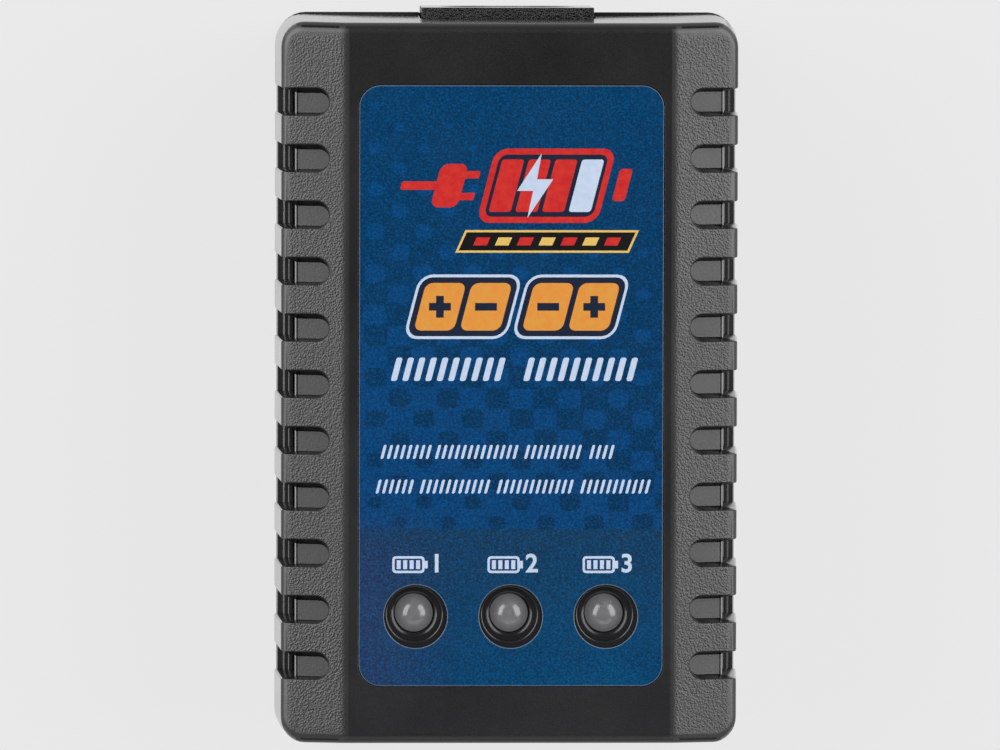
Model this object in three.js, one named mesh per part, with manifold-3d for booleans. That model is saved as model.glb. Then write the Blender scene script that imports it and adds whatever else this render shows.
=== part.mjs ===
// Balance battery charger for two and three cell packs.
// A two-part black case with a face sticker, three recessed indicator LEDs, vent slots along both
// shoulders, a figure-8 mains inlet at the rear and two balance sockets at the front, with the
// circuit board and its components inside.
// Millimetres, +Z up, +Y towards the mains inlet, origin under the middle of the whole object.

import * as THREE from 'three';
import { mergeVertices } from 'three/addons/utils/BufferGeometryUtils.js';
import Module from 'manifold-3d';

const wasm = await Module();
wasm.setup();

// ---------------------------------------------------------------- driving dimensions

// Case: outline at the parting line, draft towards the top and the base
const CASE_WIDTH = 58.0;
const CASE_LENGTH = 90.4;
const CASE_HEIGHT = 34.0;
const BASE_WIDTH = 58.0;
const BASE_LENGTH = 91.4;
const PARTING_HEIGHT = 17.0;
const PARTING_GAP = 0.2;
const SIDE_DRAFT = 0.85;
const END_DRAFT = 0.55;
const CORNER_RADIUS = 3.2;
const EDGE_RADIUS = 1.2;
const WALL = 1.9;
const PLATFORM_HALF_WIDTH = 20.4;
const SHOULDER_SLOPE = 0.33;

// Tongue and groove between the two shells
const LIP_HEIGHT = 2.0;
const LIP_THICKNESS = 0.85;
const LIP_GAP = 0.3;
const LIP_TAPER = 0.1;

// Vent slots along each shoulder
const SLOT_COUNT = 11;
const SLOT_PITCH = 7.0;
const SLOT_CENTRE_Y = -0.08;
const SLOT_WIDTH = 3.5;
const SLOT_INNER_END = 22.2;
const SLOT_DEPTH = 1.3;
const SLOT_FLOOR_END = 26.35;
const SLOT_FLOOR_THICKNESS = 0.75;

// Face sticker and base sticker, each in its own shallow recess
const LABEL_WIDTH = 37.7;
const LABEL_LENGTH = 74.5;
const LABEL_CORNER = 2.7;
const LABEL_CENTRE = [0.15, -0.25];
const LABEL_RECESS = 0.3;
const LABEL_MARGIN = 0.12;
const LABEL_THICKNESS = 0.2;
const LABEL_HOLE_RADIUS = 3.93;
const LABEL_HOLE_SHIFT = [0.15, -0.25];
const BASE_LABEL_WIDTH = 34.0;
const BASE_LABEL_LENGTH = 48.0;
const BASE_LABEL_RECESS = 0.4;

// Indicator LEDs
const LED_PITCH = 11.8;
const LED_Y = -28.6;
const LED_RADIUS = 2.35;
const LED_FLANGE_RADIUS = 2.9;
const LED_FLANGE_HEIGHT = 1.0;
const LED_LENGTH = 8.6;
const LED_SINK = 0.9;
const LED_HOLE_RADIUS = 2.5;
const LED_BOWL_RADIUS = 3.5;
const LED_BOWL_DEPTH = 1.8;
const LED_BOWL_STEP = 0.4;
const LED_BOWL_STEP_HEIGHT = 0.55;
const LED_COLLAR_RADIUS = 4.7;
const LED_COLLAR_DEPTH = 8.0;
const LED_LEG_PITCH = 1.27;
const LED_LEG_SIZE = 0.5;

// Case screws and the columns that they join
const SCREW_X = 21.8;
const SCREW_Y = 38.2;
const SCREW_HEAD_RADIUS = 2.5;
const SCREW_HEAD_HEIGHT = 1.8;
const SCREW_SHANK_RADIUS = 1.1;
const SCREW_SHANK_LENGTH = 14.0;
const WELL_RADIUS = 2.8;
const WELL_WALL_RADIUS = 4.0;
const WELL_TOP = 9.0;
const WELL_SHELF = 2.2;
const COLUMN_RADIUS = 3.25;
const COLUMN_GAP = 0.3;
const PILOT_RADIUS = 1.3;
const PILOT_LENGTH = 12.5;

// Circuit board
const BOARD_TOP = 10.5;
const BOARD_THICKNESS = 1.6;
const BOARD_WIDTH = 52.0;
const BOARD_LENGTH = 85.0;
const BOARD_NOTCH_X = 17.4;
const BOARD_NOTCH_Y = 33.8;
const BOARD_POST_RADIUS = 2.5;
const BOARD_POSTS = [[-20, -27], [20, -27], [-20, 24], [20, 24]];

// Mains inlet, a figure-8 inlet with two round pins
const INLET_REACH = 46.4;
const INLET_FLANGE_WIDTH = 21.5;
const INLET_FLANGE_HEIGHT = 13.0;
const INLET_FLANGE_THICKNESS = 1.5;
const INLET_FLANGE_CORNER = 0.8;
const INLET_BODY_WIDTH = 19.9;
const INLET_BODY_HEIGHT = 11.4;
const INLET_BODY_DEPTH = 18.0;
const INLET_CAVITY_DEPTH = 9.8;
const INLET_LOBE_RADIUS = 3.9;
const INLET_WAIST_HEIGHT = 6.2;
const INLET_PIN_PITCH = 8.6;
const INLET_PIN_RADIUS = 1.2;
const INLET_PIN_SINK = 1.8;
const INLET_PIN_CLEARANCE = 0.2;
const INLET_TAIL = 1.5;

// Balance sockets, side entry, 2.5 mm pin pitch
const SOCKET_FACE_Y = -45.1;
const SOCKET_DEPTH = 11.5;
const SOCKET_BODY_DEPTH = 9.5;
const SOCKET_HEIGHT = 6.1;
const SOCKET_WALL = 0.8;
const SOCKET_CAVITY_DEPTH = 7.6;
const SOCKET_END_ALLOWANCE = 4.9;
const SOCKET_PIN_PITCH = 2.5;
const SOCKET_PIN_SIZE = 0.64;
const SOCKET_PIN_HEIGHT = 2.9;
const SOCKET_PIN_SINK = 1.6;
const SOCKET_PIN_CLEARANCE = 0.1;
const SOCKET_ROW_HALF_WIDTH = 13.15;

// General clearances and facet counts
const FIT = 0.25;
const OVERSHOOT = 5;
const CORNER_SEGMENTS = 5;
const EDGE_SEGMENTS = 3;
const COARSE_ROUND = 12;
const ROUND = 16;
const FINE_ROUND = 24;
const LABEL_SEGMENTS = 8;

// ---------------------------------------------------------------- derived values

const CASE_CENTRE_Y = (BASE_LENGTH / 2 - INLET_REACH) / 2;
const TOP_START = PARTING_HEIGHT + PARTING_GAP / 2;
const BASE_END = PARTING_HEIGHT - PARTING_GAP / 2;
const INLET_AXIS_HEIGHT = PARTING_HEIGHT;
const LED_BASE_HEIGHT = CASE_HEIGHT - LED_SINK - LED_LENGTH;
const COLUMN_BASE = WELL_TOP + COLUMN_GAP;
const SCREW_SEAT = WELL_TOP - WELL_SHELF;
const DRAFTED = [SIDE_DRAFT, END_DRAFT];
const UPRIGHT = [0, 0];

// ---------------------------------------------------------------- solids

/** Turns a closed geometry into a solid that can be joined and cut. */
function solid(geometry) {
  const bare = geometry.clone();
  bare.deleteAttribute('normal');
  bare.deleteAttribute('uv');
  const merged = mergeVertices(bare, 1e-4);
  return new wasm.Manifold(new wasm.Mesh({
    numProp: 3,
    vertProperties: new Float32Array(merged.attributes.position.array),
    triVerts: new Uint32Array(merged.index.array),
  }));
}

/** Turns a joined or cut solid back into a geometry. */
function geometryOf(body) {
  const mesh = body.getMesh();
  const geometry = new THREE.BufferGeometry();
  geometry.setAttribute('position', new THREE.BufferAttribute(mesh.vertProperties, 3));
  geometry.setIndex(new THREE.BufferAttribute(mesh.triVerts, 1));
  geometry.computeVertexNormals();
  return geometry;
}

function joined(bodies) {
  return bodies.reduce((whole, body) => whole.add(body));
}

/** A box from its two opposite corners. */
function block([x0, y0, z0], [x1, y1, z1]) {
  const geometry = new THREE.BoxGeometry(x1 - x0, y1 - y0, z1 - z0);
  return solid(geometry.translate((x0 + x1) / 2, (y0 + y1) / 2, (z0 + z1) / 2));
}

/** A box centred on x, y and standing on z. */
function standingBlock(x, y, z, width, length, height) {
  return block([x - width / 2, y - length / 2, z], [x + width / 2, y + length / 2, z + height]);
}

/** An upright round bar. */
function column(x, y, low, high, radius, segments = ROUND) {
  const geometry = new THREE.CylinderGeometry(radius, radius, high - low, segments);
  return solid(geometry.rotateX(Math.PI / 2).translate(x, y, (low + high) / 2));
}

/** A round bar lying along Y. */
function barAlongY(x, z, from, to, radius, segments = ROUND) {
  const geometry = new THREE.CylinderGeometry(radius, radius, to - from, segments);
  return solid(geometry.translate(x, (from + to) / 2, z));
}

/** An outline in the XY plane, pulled up from one height to another. */
function prismAlongZ(shape, low, high, curveSegments = CORNER_SEGMENTS) {
  const options = { depth: high - low, bevelEnabled: false, curveSegments };
  return solid(new THREE.ExtrudeGeometry(shape, options).translate(0, 0, low));
}

/** An outline drawn as (x, z), pulled along Y. */
function prismAlongY(shape, from, to, curveSegments = CORNER_SEGMENTS) {
  const options = { depth: to - from, bevelEnabled: false, curveSegments };
  const geometry = new THREE.ExtrudeGeometry(shape, options);
  return solid(geometry.rotateX(Math.PI / 2).translate(0, to, 0));
}

/** An outline drawn as (y, z), pulled along X. */
function prismAlongX(shape, from, to, curveSegments = CORNER_SEGMENTS) {
  const options = { depth: to - from, bevelEnabled: false, curveSegments };
  const geometry = new THREE.ExtrudeGeometry(shape, options);
  return solid(geometry.rotateX(Math.PI / 2).rotateZ(Math.PI / 2).translate(from, 0, 0));
}

/** A closed profile of (radius, height) points turned about the Z axis. */
function turned(points, segments = ROUND) {
  const profile = points.map(([radius, height]) => new THREE.Vector2(radius, height));
  const geometry = new THREE.LatheGeometry(profile, segments);
  return solid(geometry.rotateX(Math.PI / 2));
}

function roundedRectangle(width, length, radius, centreX = 0, centreY = 0) {
  const right = centreX + width / 2;
  const left = centreX - width / 2;
  const top = centreY + length / 2;
  const bottom = centreY - length / 2;
  const shape = new THREE.Shape();
  shape.moveTo(right, bottom + radius);
  shape.lineTo(right, top - radius);
  shape.absarc(right - radius, top - radius, radius, 0, Math.PI / 2);
  shape.lineTo(left + radius, top);
  shape.absarc(left + radius, top - radius, radius, Math.PI / 2, Math.PI);
  shape.lineTo(left, bottom + radius);
  shape.absarc(left + radius, bottom + radius, radius, Math.PI, 1.5 * Math.PI);
  shape.lineTo(right - radius, bottom);
  shape.absarc(right - radius, bottom + radius, radius, 1.5 * Math.PI, 2 * Math.PI);
  return shape;
}

/** A round-cornered block whose outline is drawn in by a different [x, y] inset at each end. */
function taperedBlock({ width, length, radius, low, high, lowInset, highInset }) {
  const options = { depth: 1, bevelEnabled: false, curveSegments: CORNER_SEGMENTS };
  const geometry = new THREE.ExtrudeGeometry(roundedRectangle(width, length, radius), options);
  const position = geometry.attributes.position;
  for (let i = 0; i < position.count; i += 1) {
    const isTop = position.getZ(i) > 0.5;
    const [insetX, insetY] = isTop ? highInset : lowInset;
    const x = position.getX(i) * (1 - (2 * insetX) / width);
    const y = position.getY(i) * (1 - (2 * insetY) / length);
    position.setXYZ(i, x, y, isTop ? high : low);
  }
  return solid(geometry);
}

// ---------------------------------------------------------------- case

/** Height of the case's upper surface at a distance from the middle line. */
function shoulderHeight(x) {
  return CASE_HEIGHT - Math.max(0, x - PLATFORM_HALF_WIDTH) * SHOULDER_SLOPE;
}

/** Cross-section of the case top: flat platform, sloping shoulders and rounded outer edges. */
function shoulderOutline(drop) {
  const edgeX = CASE_WIDTH / 2 - SIDE_DRAFT - drop;
  const bendX = edgeX - EDGE_RADIUS * 0.8;
  const bendZ = shoulderHeight(bendX) - drop;
  const half = [
    [PLATFORM_HALF_WIDTH, CASE_HEIGHT - drop],
    [bendX, bendZ],
    [edgeX - EDGE_RADIUS * 0.25, bendZ - EDGE_RADIUS * 0.45],
    [edgeX, bendZ - EDGE_RADIUS],
    [CASE_WIDTH / 2 + OVERSHOOT, -PARTING_HEIGHT],
  ];
  const mirrored = half.slice().reverse().map(([x, z]) => [-x, z]);
  return new THREE.Shape([...half, ...mirrored].map(([x, z]) => new THREE.Vector2(x, z)));
}

/** Section that rounds a pair of edges at the top (inwards -1) or at the base (inwards +1). */
function roundedEdgeOutline(span, draft, edgeHeight, inwards) {
  const end = span / 2 - draft;
  const arc = [];
  for (let step = 0; step <= EDGE_SEGMENTS; step += 1) {
    const angle = (step / EDGE_SEGMENTS) * (Math.PI / 2);
    const across = end - EDGE_RADIUS * (1 - Math.cos(angle));
    arc.push([across, edgeHeight + inwards * EDGE_RADIUS * (1 - Math.sin(angle))]);
  }
  const far = edgeHeight + inwards * 2 * CASE_HEIGHT;
  const half = [[end + OVERSHOOT, far], ...arc];
  const mirrored = half.slice().reverse().map(([across, z]) => [-across, z]);
  return new THREE.Shape([...half, ...mirrored].map(([across, z]) => new THREE.Vector2(across, z)));
}

/** One vent slot: a round-ended groove on the shoulder that opens through the side wall below. */
function ventCutter(side, y) {
  const radius = SLOT_WIDTH / 2;
  const outer = CASE_WIDTH / 2 + OVERSHOOT;
  const plan = new THREE.Shape();
  plan.moveTo(side * outer, y - radius);
  plan.lineTo(side * (SLOT_INNER_END + radius), y - radius);
  plan.absarc(side * (SLOT_INNER_END + radius), y, radius, 1.5 * Math.PI, 0.5 * Math.PI, side > 0);
  plan.lineTo(side * outer, y + radius);

  const throughTop = shoulderHeight(SLOT_FLOOR_END) - SLOT_DEPTH - SLOT_FLOOR_THICKNESS;
  const section = new THREE.Shape();
  const points = [
    [PLATFORM_HALF_WIDTH, CASE_HEIGHT - SLOT_DEPTH],
    [SLOT_FLOOR_END, shoulderHeight(SLOT_FLOOR_END) - SLOT_DEPTH],
    [SLOT_FLOOR_END, throughTop],
    [SLOT_FLOOR_END - SLOT_FLOOR_THICKNESS, throughTop],
    [SLOT_FLOOR_END - SLOT_FLOOR_THICKNESS, PARTING_HEIGHT - OVERSHOOT],
    [outer, PARTING_HEIGHT - OVERSHOOT],
    [outer, CASE_HEIGHT + OVERSHOOT],
    [PLATFORM_HALF_WIDTH, CASE_HEIGHT + OVERSHOOT],
  ];
  points.forEach(([x, z], i) => (i ? section.lineTo(side * x, z) : section.moveTo(side * x, z)));
  const body = prismAlongZ(plan, PARTING_HEIGHT - OVERSHOOT, CASE_HEIGHT + OVERSHOOT);
  return body.intersect(prismAlongY(section, y - SLOT_PITCH, y + SLOT_PITCH));
}

/** The hole and bowl around one LED, cut through the platform. */
function ledCutter(x) {
  const bowlTop = CASE_HEIGHT - LABEL_RECESS;
  const bowlBottom = bowlTop - LED_BOWL_DEPTH;
  const profile = [
    [0, bowlBottom - LED_COLLAR_DEPTH],
    [LED_HOLE_RADIUS, bowlBottom - LED_COLLAR_DEPTH],
    [LED_HOLE_RADIUS, bowlBottom],
    [LED_HOLE_RADIUS + LED_BOWL_STEP, bowlBottom + LED_BOWL_STEP_HEIGHT],
    [LED_BOWL_RADIUS, bowlTop],
    [LED_BOWL_RADIUS, CASE_HEIGHT + OVERSHOOT],
    [0, CASE_HEIGHT + OVERSHOOT],
  ];
  return turned(profile, FINE_ROUND).translate([x, LED_Y, 0]);
}

/** Openings in the end walls for the mains inlet: the way through and the seat of its flange. */
function inletCutter() {
  const z = INLET_AXIS_HEIGHT;
  const halfBody = [INLET_BODY_WIDTH / 2 + FIT, INLET_BODY_HEIGHT / 2 + FIT];
  const halfFlange = [INLET_FLANGE_WIDTH / 2 + FIT, INLET_FLANGE_HEIGHT / 2 + FIT];
  const seat = INLET_REACH - INLET_FLANGE_THICKNESS - FIT;
  const reach = INLET_REACH + OVERSHOOT;
  const inner = CASE_LENGTH / 2 - OVERSHOOT;
  return block([-halfBody[0], inner, z - halfBody[1]], [halfBody[0], reach, z + halfBody[1]])
    .add(block([-halfFlange[0], seat, z - halfFlange[1]], [halfFlange[0], reach, z + halfFlange[1]]));
}

function screwPlaces() {
  return [-1, 1].flatMap((sideX) => [-1, 1].map((sideY) => [sideX * SCREW_X, sideY * SCREW_Y]));
}

function ledPlaces() {
  return [-LED_PITCH, 0, LED_PITCH];
}

function topShell() {
  const outside = taperedBlock({
    width: CASE_WIDTH, length: CASE_LENGTH, radius: CORNER_RADIUS,
    low: TOP_START, high: CASE_HEIGHT, lowInset: UPRIGHT, highInset: DRAFTED,
  })
    .intersect(prismAlongY(shoulderOutline(0), -CASE_LENGTH, CASE_LENGTH))
    .intersect(prismAlongX(
      roundedEdgeOutline(CASE_LENGTH, END_DRAFT, CASE_HEIGHT, -1), -CASE_WIDTH, CASE_WIDTH));
  const inside = taperedBlock({
    width: CASE_WIDTH - 2 * WALL, length: CASE_LENGTH - 2 * WALL, radius: CORNER_RADIUS - WALL,
    low: TOP_START - 1, high: CASE_HEIGHT, lowInset: UPRIGHT, highInset: DRAFTED,
  }).intersect(prismAlongY(shoulderOutline(WALL), -CASE_LENGTH, CASE_LENGTH));
  const lipInset = 2 * (WALL - LIP_THICKNESS - FIT);
  const lipGroove = taperedBlock({
    width: BASE_WIDTH - lipInset, length: CASE_LENGTH - lipInset, radius: CORNER_RADIUS - 1,
    low: TOP_START - 1, high: PARTING_HEIGHT + LIP_HEIGHT + LIP_GAP, lowInset: UPRIGHT, highInset: UPRIGHT,
  });

  let shell = outside.subtract(inside).subtract(lipGroove);
  for (const [x, y] of screwPlaces()) {
    shell = shell.add(column(x, y, COLUMN_BASE, shoulderHeight(SCREW_X) - WALL, COLUMN_RADIUS));
    const pilotTop = COLUMN_BASE + PILOT_LENGTH;
    shell = shell.subtract(column(x, y, COLUMN_BASE - 1, pilotTop, PILOT_RADIUS, COARSE_ROUND));
  }
  const collarLow = CASE_HEIGHT - LED_COLLAR_DEPTH;
  const collarTop = CASE_HEIGHT - WALL / 2;
  for (const x of ledPlaces()) {
    shell = shell.add(column(x, LED_Y, collarLow, collarTop, LED_COLLAR_RADIUS, FINE_ROUND));
  }
  for (const x of ledPlaces()) {
    shell = shell.subtract(ledCutter(x));
  }
  const recess = roundedRectangle(
    LABEL_WIDTH + 2 * LABEL_MARGIN, LABEL_LENGTH + 2 * LABEL_MARGIN, LABEL_CORNER, ...LABEL_CENTRE);
  shell = shell.subtract(prismAlongZ(recess, CASE_HEIGHT - LABEL_RECESS, CASE_HEIGHT + 1));
  for (let i = 0; i < SLOT_COUNT; i += 1) {
    const y = SLOT_CENTRE_Y + (i - (SLOT_COUNT - 1) / 2) * SLOT_PITCH;
    shell = shell.subtract(ventCutter(-1, y)).subtract(ventCutter(1, y));
  }
  return shell.subtract(inletCutter());
}

function bottomShell() {
  const outside = taperedBlock({
    width: BASE_WIDTH, length: BASE_LENGTH, radius: CORNER_RADIUS,
    low: 0, high: BASE_END, lowInset: DRAFTED, highInset: UPRIGHT,
  })
    .intersect(prismAlongX(roundedEdgeOutline(BASE_LENGTH, END_DRAFT, 0, 1), -CASE_WIDTH, CASE_WIDTH))
    .intersect(prismAlongY(roundedEdgeOutline(BASE_WIDTH, SIDE_DRAFT, 0, 1), -CASE_LENGTH, CASE_LENGTH));
  const innerWidth = BASE_WIDTH - 2 * WALL;
  const innerLength = CASE_LENGTH - 2 * WALL;
  const innerRadius = CORNER_RADIUS - WALL;
  const inside = taperedBlock({
    width: innerWidth, length: innerLength, radius: innerRadius,
    low: WALL, high: PARTING_HEIGHT + OVERSHOOT, lowInset: DRAFTED, highInset: UPRIGHT,
  });
  const lip = taperedBlock({
    width: innerWidth + 2 * LIP_THICKNESS, length: innerLength + 2 * LIP_THICKNESS,
    radius: innerRadius + LIP_THICKNESS,
    low: BASE_END - 1, high: PARTING_HEIGHT + LIP_HEIGHT,
    lowInset: UPRIGHT, highInset: [LIP_TAPER, LIP_TAPER],
  });

  let shell = outside.add(lip).subtract(inside);
  for (const [x, y] of BOARD_POSTS) {
    shell = shell.add(column(x, y, WALL / 2, BOARD_TOP - BOARD_THICKNESS, BOARD_POST_RADIUS, COARSE_ROUND));
  }
  for (const [x, y] of screwPlaces()) {
    shell = shell.add(column(x, y, WALL / 2, WELL_TOP, WELL_WALL_RADIUS));
    shell = shell.subtract(column(x, y, -1, SCREW_SEAT, WELL_RADIUS));
    shell = shell.subtract(column(x, y, SCREW_SEAT - 1, WELL_TOP + 1, PILOT_RADIUS + FIT, COARSE_ROUND));
  }
  const recess = roundedRectangle(
    BASE_LABEL_WIDTH + 2 * LABEL_MARGIN, BASE_LABEL_LENGTH + 2 * LABEL_MARGIN, LABEL_CORNER);
  shell = shell.subtract(prismAlongZ(recess, -1, BASE_LABEL_RECESS));
  for (const { centre, width } of socketPlaces()) {
    const low = [centre - width / 2 - FIT, -BASE_LENGTH / 2 - 1, BOARD_TOP - FIT];
    const high = [centre + width / 2 + FIT, -BASE_LENGTH / 2 + OVERSHOOT, PARTING_HEIGHT + OVERSHOOT];
    shell = shell.subtract(block(low, high));
  }
  return shell.subtract(inletCutter());
}

function faceLabel() {
  const shape = roundedRectangle(LABEL_WIDTH, LABEL_LENGTH, LABEL_CORNER, ...LABEL_CENTRE);
  const [shiftX, shiftY] = LABEL_HOLE_SHIFT;
  for (const x of ledPlaces()) {
    const hole = new THREE.Path();
    hole.absarc(x + shiftX, LED_Y + shiftY, LABEL_HOLE_RADIUS, 0, 2 * Math.PI);
    shape.holes.push(hole);
  }
  const low = CASE_HEIGHT - LABEL_RECESS;
  return prismAlongZ(shape, low, low + LABEL_THICKNESS, LABEL_SEGMENTS);
}

function ratingLabel() {
  const shape = roundedRectangle(BASE_LABEL_WIDTH, BASE_LABEL_LENGTH, LABEL_CORNER);
  return prismAlongZ(shape, BASE_LABEL_RECESS - LABEL_THICKNESS, BASE_LABEL_RECESS);
}

/** Self-tapping case screw, driven upwards, with a cross recess under its head. */
function caseScrew() {
  const recess = { length: 3.0, width: 0.7, depth: 0.9 };
  const chamfer = { width: 0.5, height: 0.6 };
  const tipLength = 1.5;
  const shank = turned([
    [0, -SCREW_HEAD_HEIGHT],
    [SCREW_HEAD_RADIUS - chamfer.width, -SCREW_HEAD_HEIGHT],
    [SCREW_HEAD_RADIUS, -SCREW_HEAD_HEIGHT + chamfer.height],
    [SCREW_HEAD_RADIUS, 0],
    [SCREW_SHANK_RADIUS, 0],
    [SCREW_SHANK_RADIUS, SCREW_SHANK_LENGTH - tipLength],
    [0, SCREW_SHANK_LENGTH],
  ]);
  const low = -SCREW_HEAD_HEIGHT - 1;
  const height = 1 + recess.depth;
  return shank
    .subtract(standingBlock(0, 0, low, recess.length, recess.width, height))
    .subtract(standingBlock(0, 0, low, recess.width, recess.length, height));
}

// ---------------------------------------------------------------- circuit board and connectors

function mainBoard() {
  const [halfX, halfY] = [BOARD_WIDTH / 2, BOARD_LENGTH / 2];
  const corners = [
    [BOARD_NOTCH_X, halfY], [BOARD_NOTCH_X, BOARD_NOTCH_Y], [halfX, BOARD_NOTCH_Y],
  ];
  const outline = [
    ...corners,
    ...corners.slice().reverse().map(([x, y]) => [x, -y]),
    ...corners.map(([x, y]) => [-x, -y]),
    ...corners.slice().reverse().map(([x, y]) => [-x, y]),
  ];
  const shape = new THREE.Shape(outline.map(([x, y]) => new THREE.Vector2(x, y)));
  return prismAlongZ(shape, BOARD_TOP - BOARD_THICKNESS, BOARD_TOP);
}

function mainsInlet() {
  const z = INLET_AXIS_HEIGHT;
  const flangeInner = INLET_REACH - INLET_FLANGE_THICKNESS;
  const back = INLET_REACH - INLET_BODY_DEPTH;
  const cavityEnd = INLET_REACH - INLET_CAVITY_DEPTH;
  const halfBody = [INLET_BODY_WIDTH / 2, INLET_BODY_HEIGHT / 2];
  const overlap = 0.5;
  const foot = { x: 7, fromBack: 6, width: 3, length: 8 };
  const footHeight = z - halfBody[1] - BOARD_TOP + overlap;
  const flange = roundedRectangle(
    INLET_FLANGE_WIDTH, INLET_FLANGE_HEIGHT, INLET_FLANGE_CORNER, 0, z);
  const feet = [-1, 1].map((side) => standingBlock(
    side * foot.x, back + foot.fromBack, BOARD_TOP, foot.width, foot.length, footHeight));
  const lobes = [-1, 1].map((side) => (
    barAlongY((side * INLET_PIN_PITCH) / 2, z, cavityEnd, INLET_REACH + 1, INLET_LOBE_RADIUS, FINE_ROUND)));
  const waist = block(
    [-INLET_PIN_PITCH / 2, cavityEnd, z - INLET_WAIST_HEIGHT / 2],
    [INLET_PIN_PITCH / 2, INLET_REACH + 1, z + INLET_WAIST_HEIGHT / 2]);
  const pinHole = INLET_PIN_RADIUS + INLET_PIN_CLEARANCE;
  const pinHoles = [-1, 1].map((side) => (
    barAlongY((side * INLET_PIN_PITCH) / 2, z, back - 1, cavityEnd + 1, pinHole, COARSE_ROUND)));
  return prismAlongY(flange, flangeInner, INLET_REACH)
    .add(block([-halfBody[0], back, z - halfBody[1]], [halfBody[0], flangeInner + overlap, z + halfBody[1]]))
    .add(joined(feet))
    .subtract(joined([...lobes, waist]))
    .subtract(joined(pinHoles));
}

/** One round contact pin of the inlet, with its tail bent down to the board. */
function inletPin() {
  const tip = INLET_REACH - INLET_PIN_SINK;
  const end = INLET_REACH - INLET_BODY_DEPTH - INLET_TAIL;
  const tail = block(
    [-INLET_TAIL / 2, end - INLET_TAIL / 2, BOARD_TOP],
    [INLET_TAIL / 2, end + INLET_TAIL / 2, INLET_AXIS_HEIGHT + INLET_PIN_RADIUS / 2]);
  const nose = { radius: 0.72, length: 0.5 };
  const shoulder = tip - nose.length;
  const nosePin = barAlongY(0, INLET_AXIS_HEIGHT, shoulder - 1, tip, nose.radius, COARSE_ROUND);
  return barAlongY(0, INLET_AXIS_HEIGHT, end, shoulder, INLET_PIN_RADIUS, COARSE_ROUND)
    .add(nosePin)
    .add(tail);
}

/** Width and place of each balance socket, side by side along the front. */
function socketPlaces() {
  const sockets = [{ name: 'socket_2s', pins: 3, side: -1 }, { name: 'socket_3s', pins: 4, side: 1 }];
  return sockets.map(({ name, pins, side }) => {
    const width = (pins - 1) * SOCKET_PIN_PITCH + SOCKET_END_ALLOWANCE;
    return { name, pins, width, centre: side * (SOCKET_ROW_HALF_WIDTH - width / 2) };
  });
}

/** Side-entry socket housing: a box open at the front, with two polarising slots in its roof. */
function socketHousing(width, pins) {
  const halfCavity = width / 2 - SOCKET_WALL;
  const roof = SOCKET_HEIGHT - SOCKET_WALL;
  const slot = { halfWidth: 0.8, depth: 5.5, inset: 0.4 };
  let housing = block([-width / 2, 0, 0], [width / 2, SOCKET_BODY_DEPTH, SOCKET_HEIGHT])
    .subtract(block([-halfCavity, -1, SOCKET_WALL], [halfCavity, SOCKET_CAVITY_DEPTH, roof]));
  for (const end of [0, pins - 1]) {
    const x = pinOffset(end, pins) + (end ? -slot.inset : slot.inset);
    const low = [x - slot.halfWidth, -1, roof - 1];
    housing = housing.subtract(block(low, [x + slot.halfWidth, slot.depth, SOCKET_HEIGHT + 1]));
  }
  const half = SOCKET_PIN_SIZE / 2 + SOCKET_PIN_CLEARANCE;
  for (let i = 0; i < pins; i += 1) {
    const x = pinOffset(i, pins);
    const low = [x - half, SOCKET_CAVITY_DEPTH - 1, SOCKET_PIN_HEIGHT - half];
    housing = housing.subtract(block(low, [x + half, SOCKET_DEPTH, SOCKET_PIN_HEIGHT + half]));
  }
  return housing;
}

function pinOffset(index, pins) {
  return (index - (pins - 1) / 2) * SOCKET_PIN_PITCH;
}

/** One square contact pin, bent down behind the housing to the board. */
function socketPin() {
  const half = SOCKET_PIN_SIZE / 2;
  const end = SOCKET_DEPTH - 1;
  return block([-half, SOCKET_PIN_SINK, SOCKET_PIN_HEIGHT - half], [half, end, SOCKET_PIN_HEIGHT + half])
    .add(block([-half, end - SOCKET_PIN_SIZE, 0], [half, end, SOCKET_PIN_HEIGHT + half]));
}

// ---------------------------------------------------------------- indicators

function ledLens() {
  const shoulder = LED_LENGTH - LED_RADIUS;
  const profile = [[0, 0], [LED_FLANGE_RADIUS, 0], [LED_FLANGE_RADIUS, LED_FLANGE_HEIGHT],
    [LED_RADIUS, LED_FLANGE_HEIGHT]];
  const steps = 5;
  for (let i = 0; i < steps; i += 1) {
    const angle = (i / steps) * (Math.PI / 2);
    profile.push([LED_RADIUS * Math.cos(angle), shoulder + LED_RADIUS * Math.sin(angle)]);
  }
  profile.push([0, LED_LENGTH]);
  return turned(profile);
}

function ledLeg() {
  return standingBlock(0, 0, BOARD_TOP, LED_LEG_SIZE, LED_LEG_SIZE, LED_BASE_HEIGHT - BOARD_TOP);
}

// ---------------------------------------------------------------- components on the board

// Each component stands on z = 0 at its own middle.

/** Upright electrolytic capacitor in a shrink sleeve, with a crimp groove near its foot. */
function canCapacitor({ radius, height }) {
  const crimp = { low: 1.4, high: 2.4, depth: 0.35 };
  const edge = 0.4;
  return turned([
    [0, 0],
    [radius - edge, 0],
    [radius, edge],
    [radius, crimp.low],
    [radius - crimp.depth, (crimp.low + crimp.high) / 2],
    [radius, crimp.high],
    [radius, height - edge],
    [radius - edge, height],
    [0, height],
  ]);
}

/** Axial diode lying along Y on bent leads. */
function axialDiode({ bodyLength, bodyRadius, leadSpan, leadWidth, lift }) {
  const half = leadWidth / 2;
  const reach = leadSpan / 2;
  const body = barAlongY(0, lift, -bodyLength / 2, bodyLength / 2, bodyRadius, COARSE_ROUND);
  const wire = block([-half, -reach, lift - half], [half, reach, lift + half]);
  const legs = [-1, 1].map((side) => (
    standingBlock(0, side * (reach - half), 0, leadWidth, leadWidth, lift)));
  return joined([body, wire, ...legs]);
}

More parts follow.
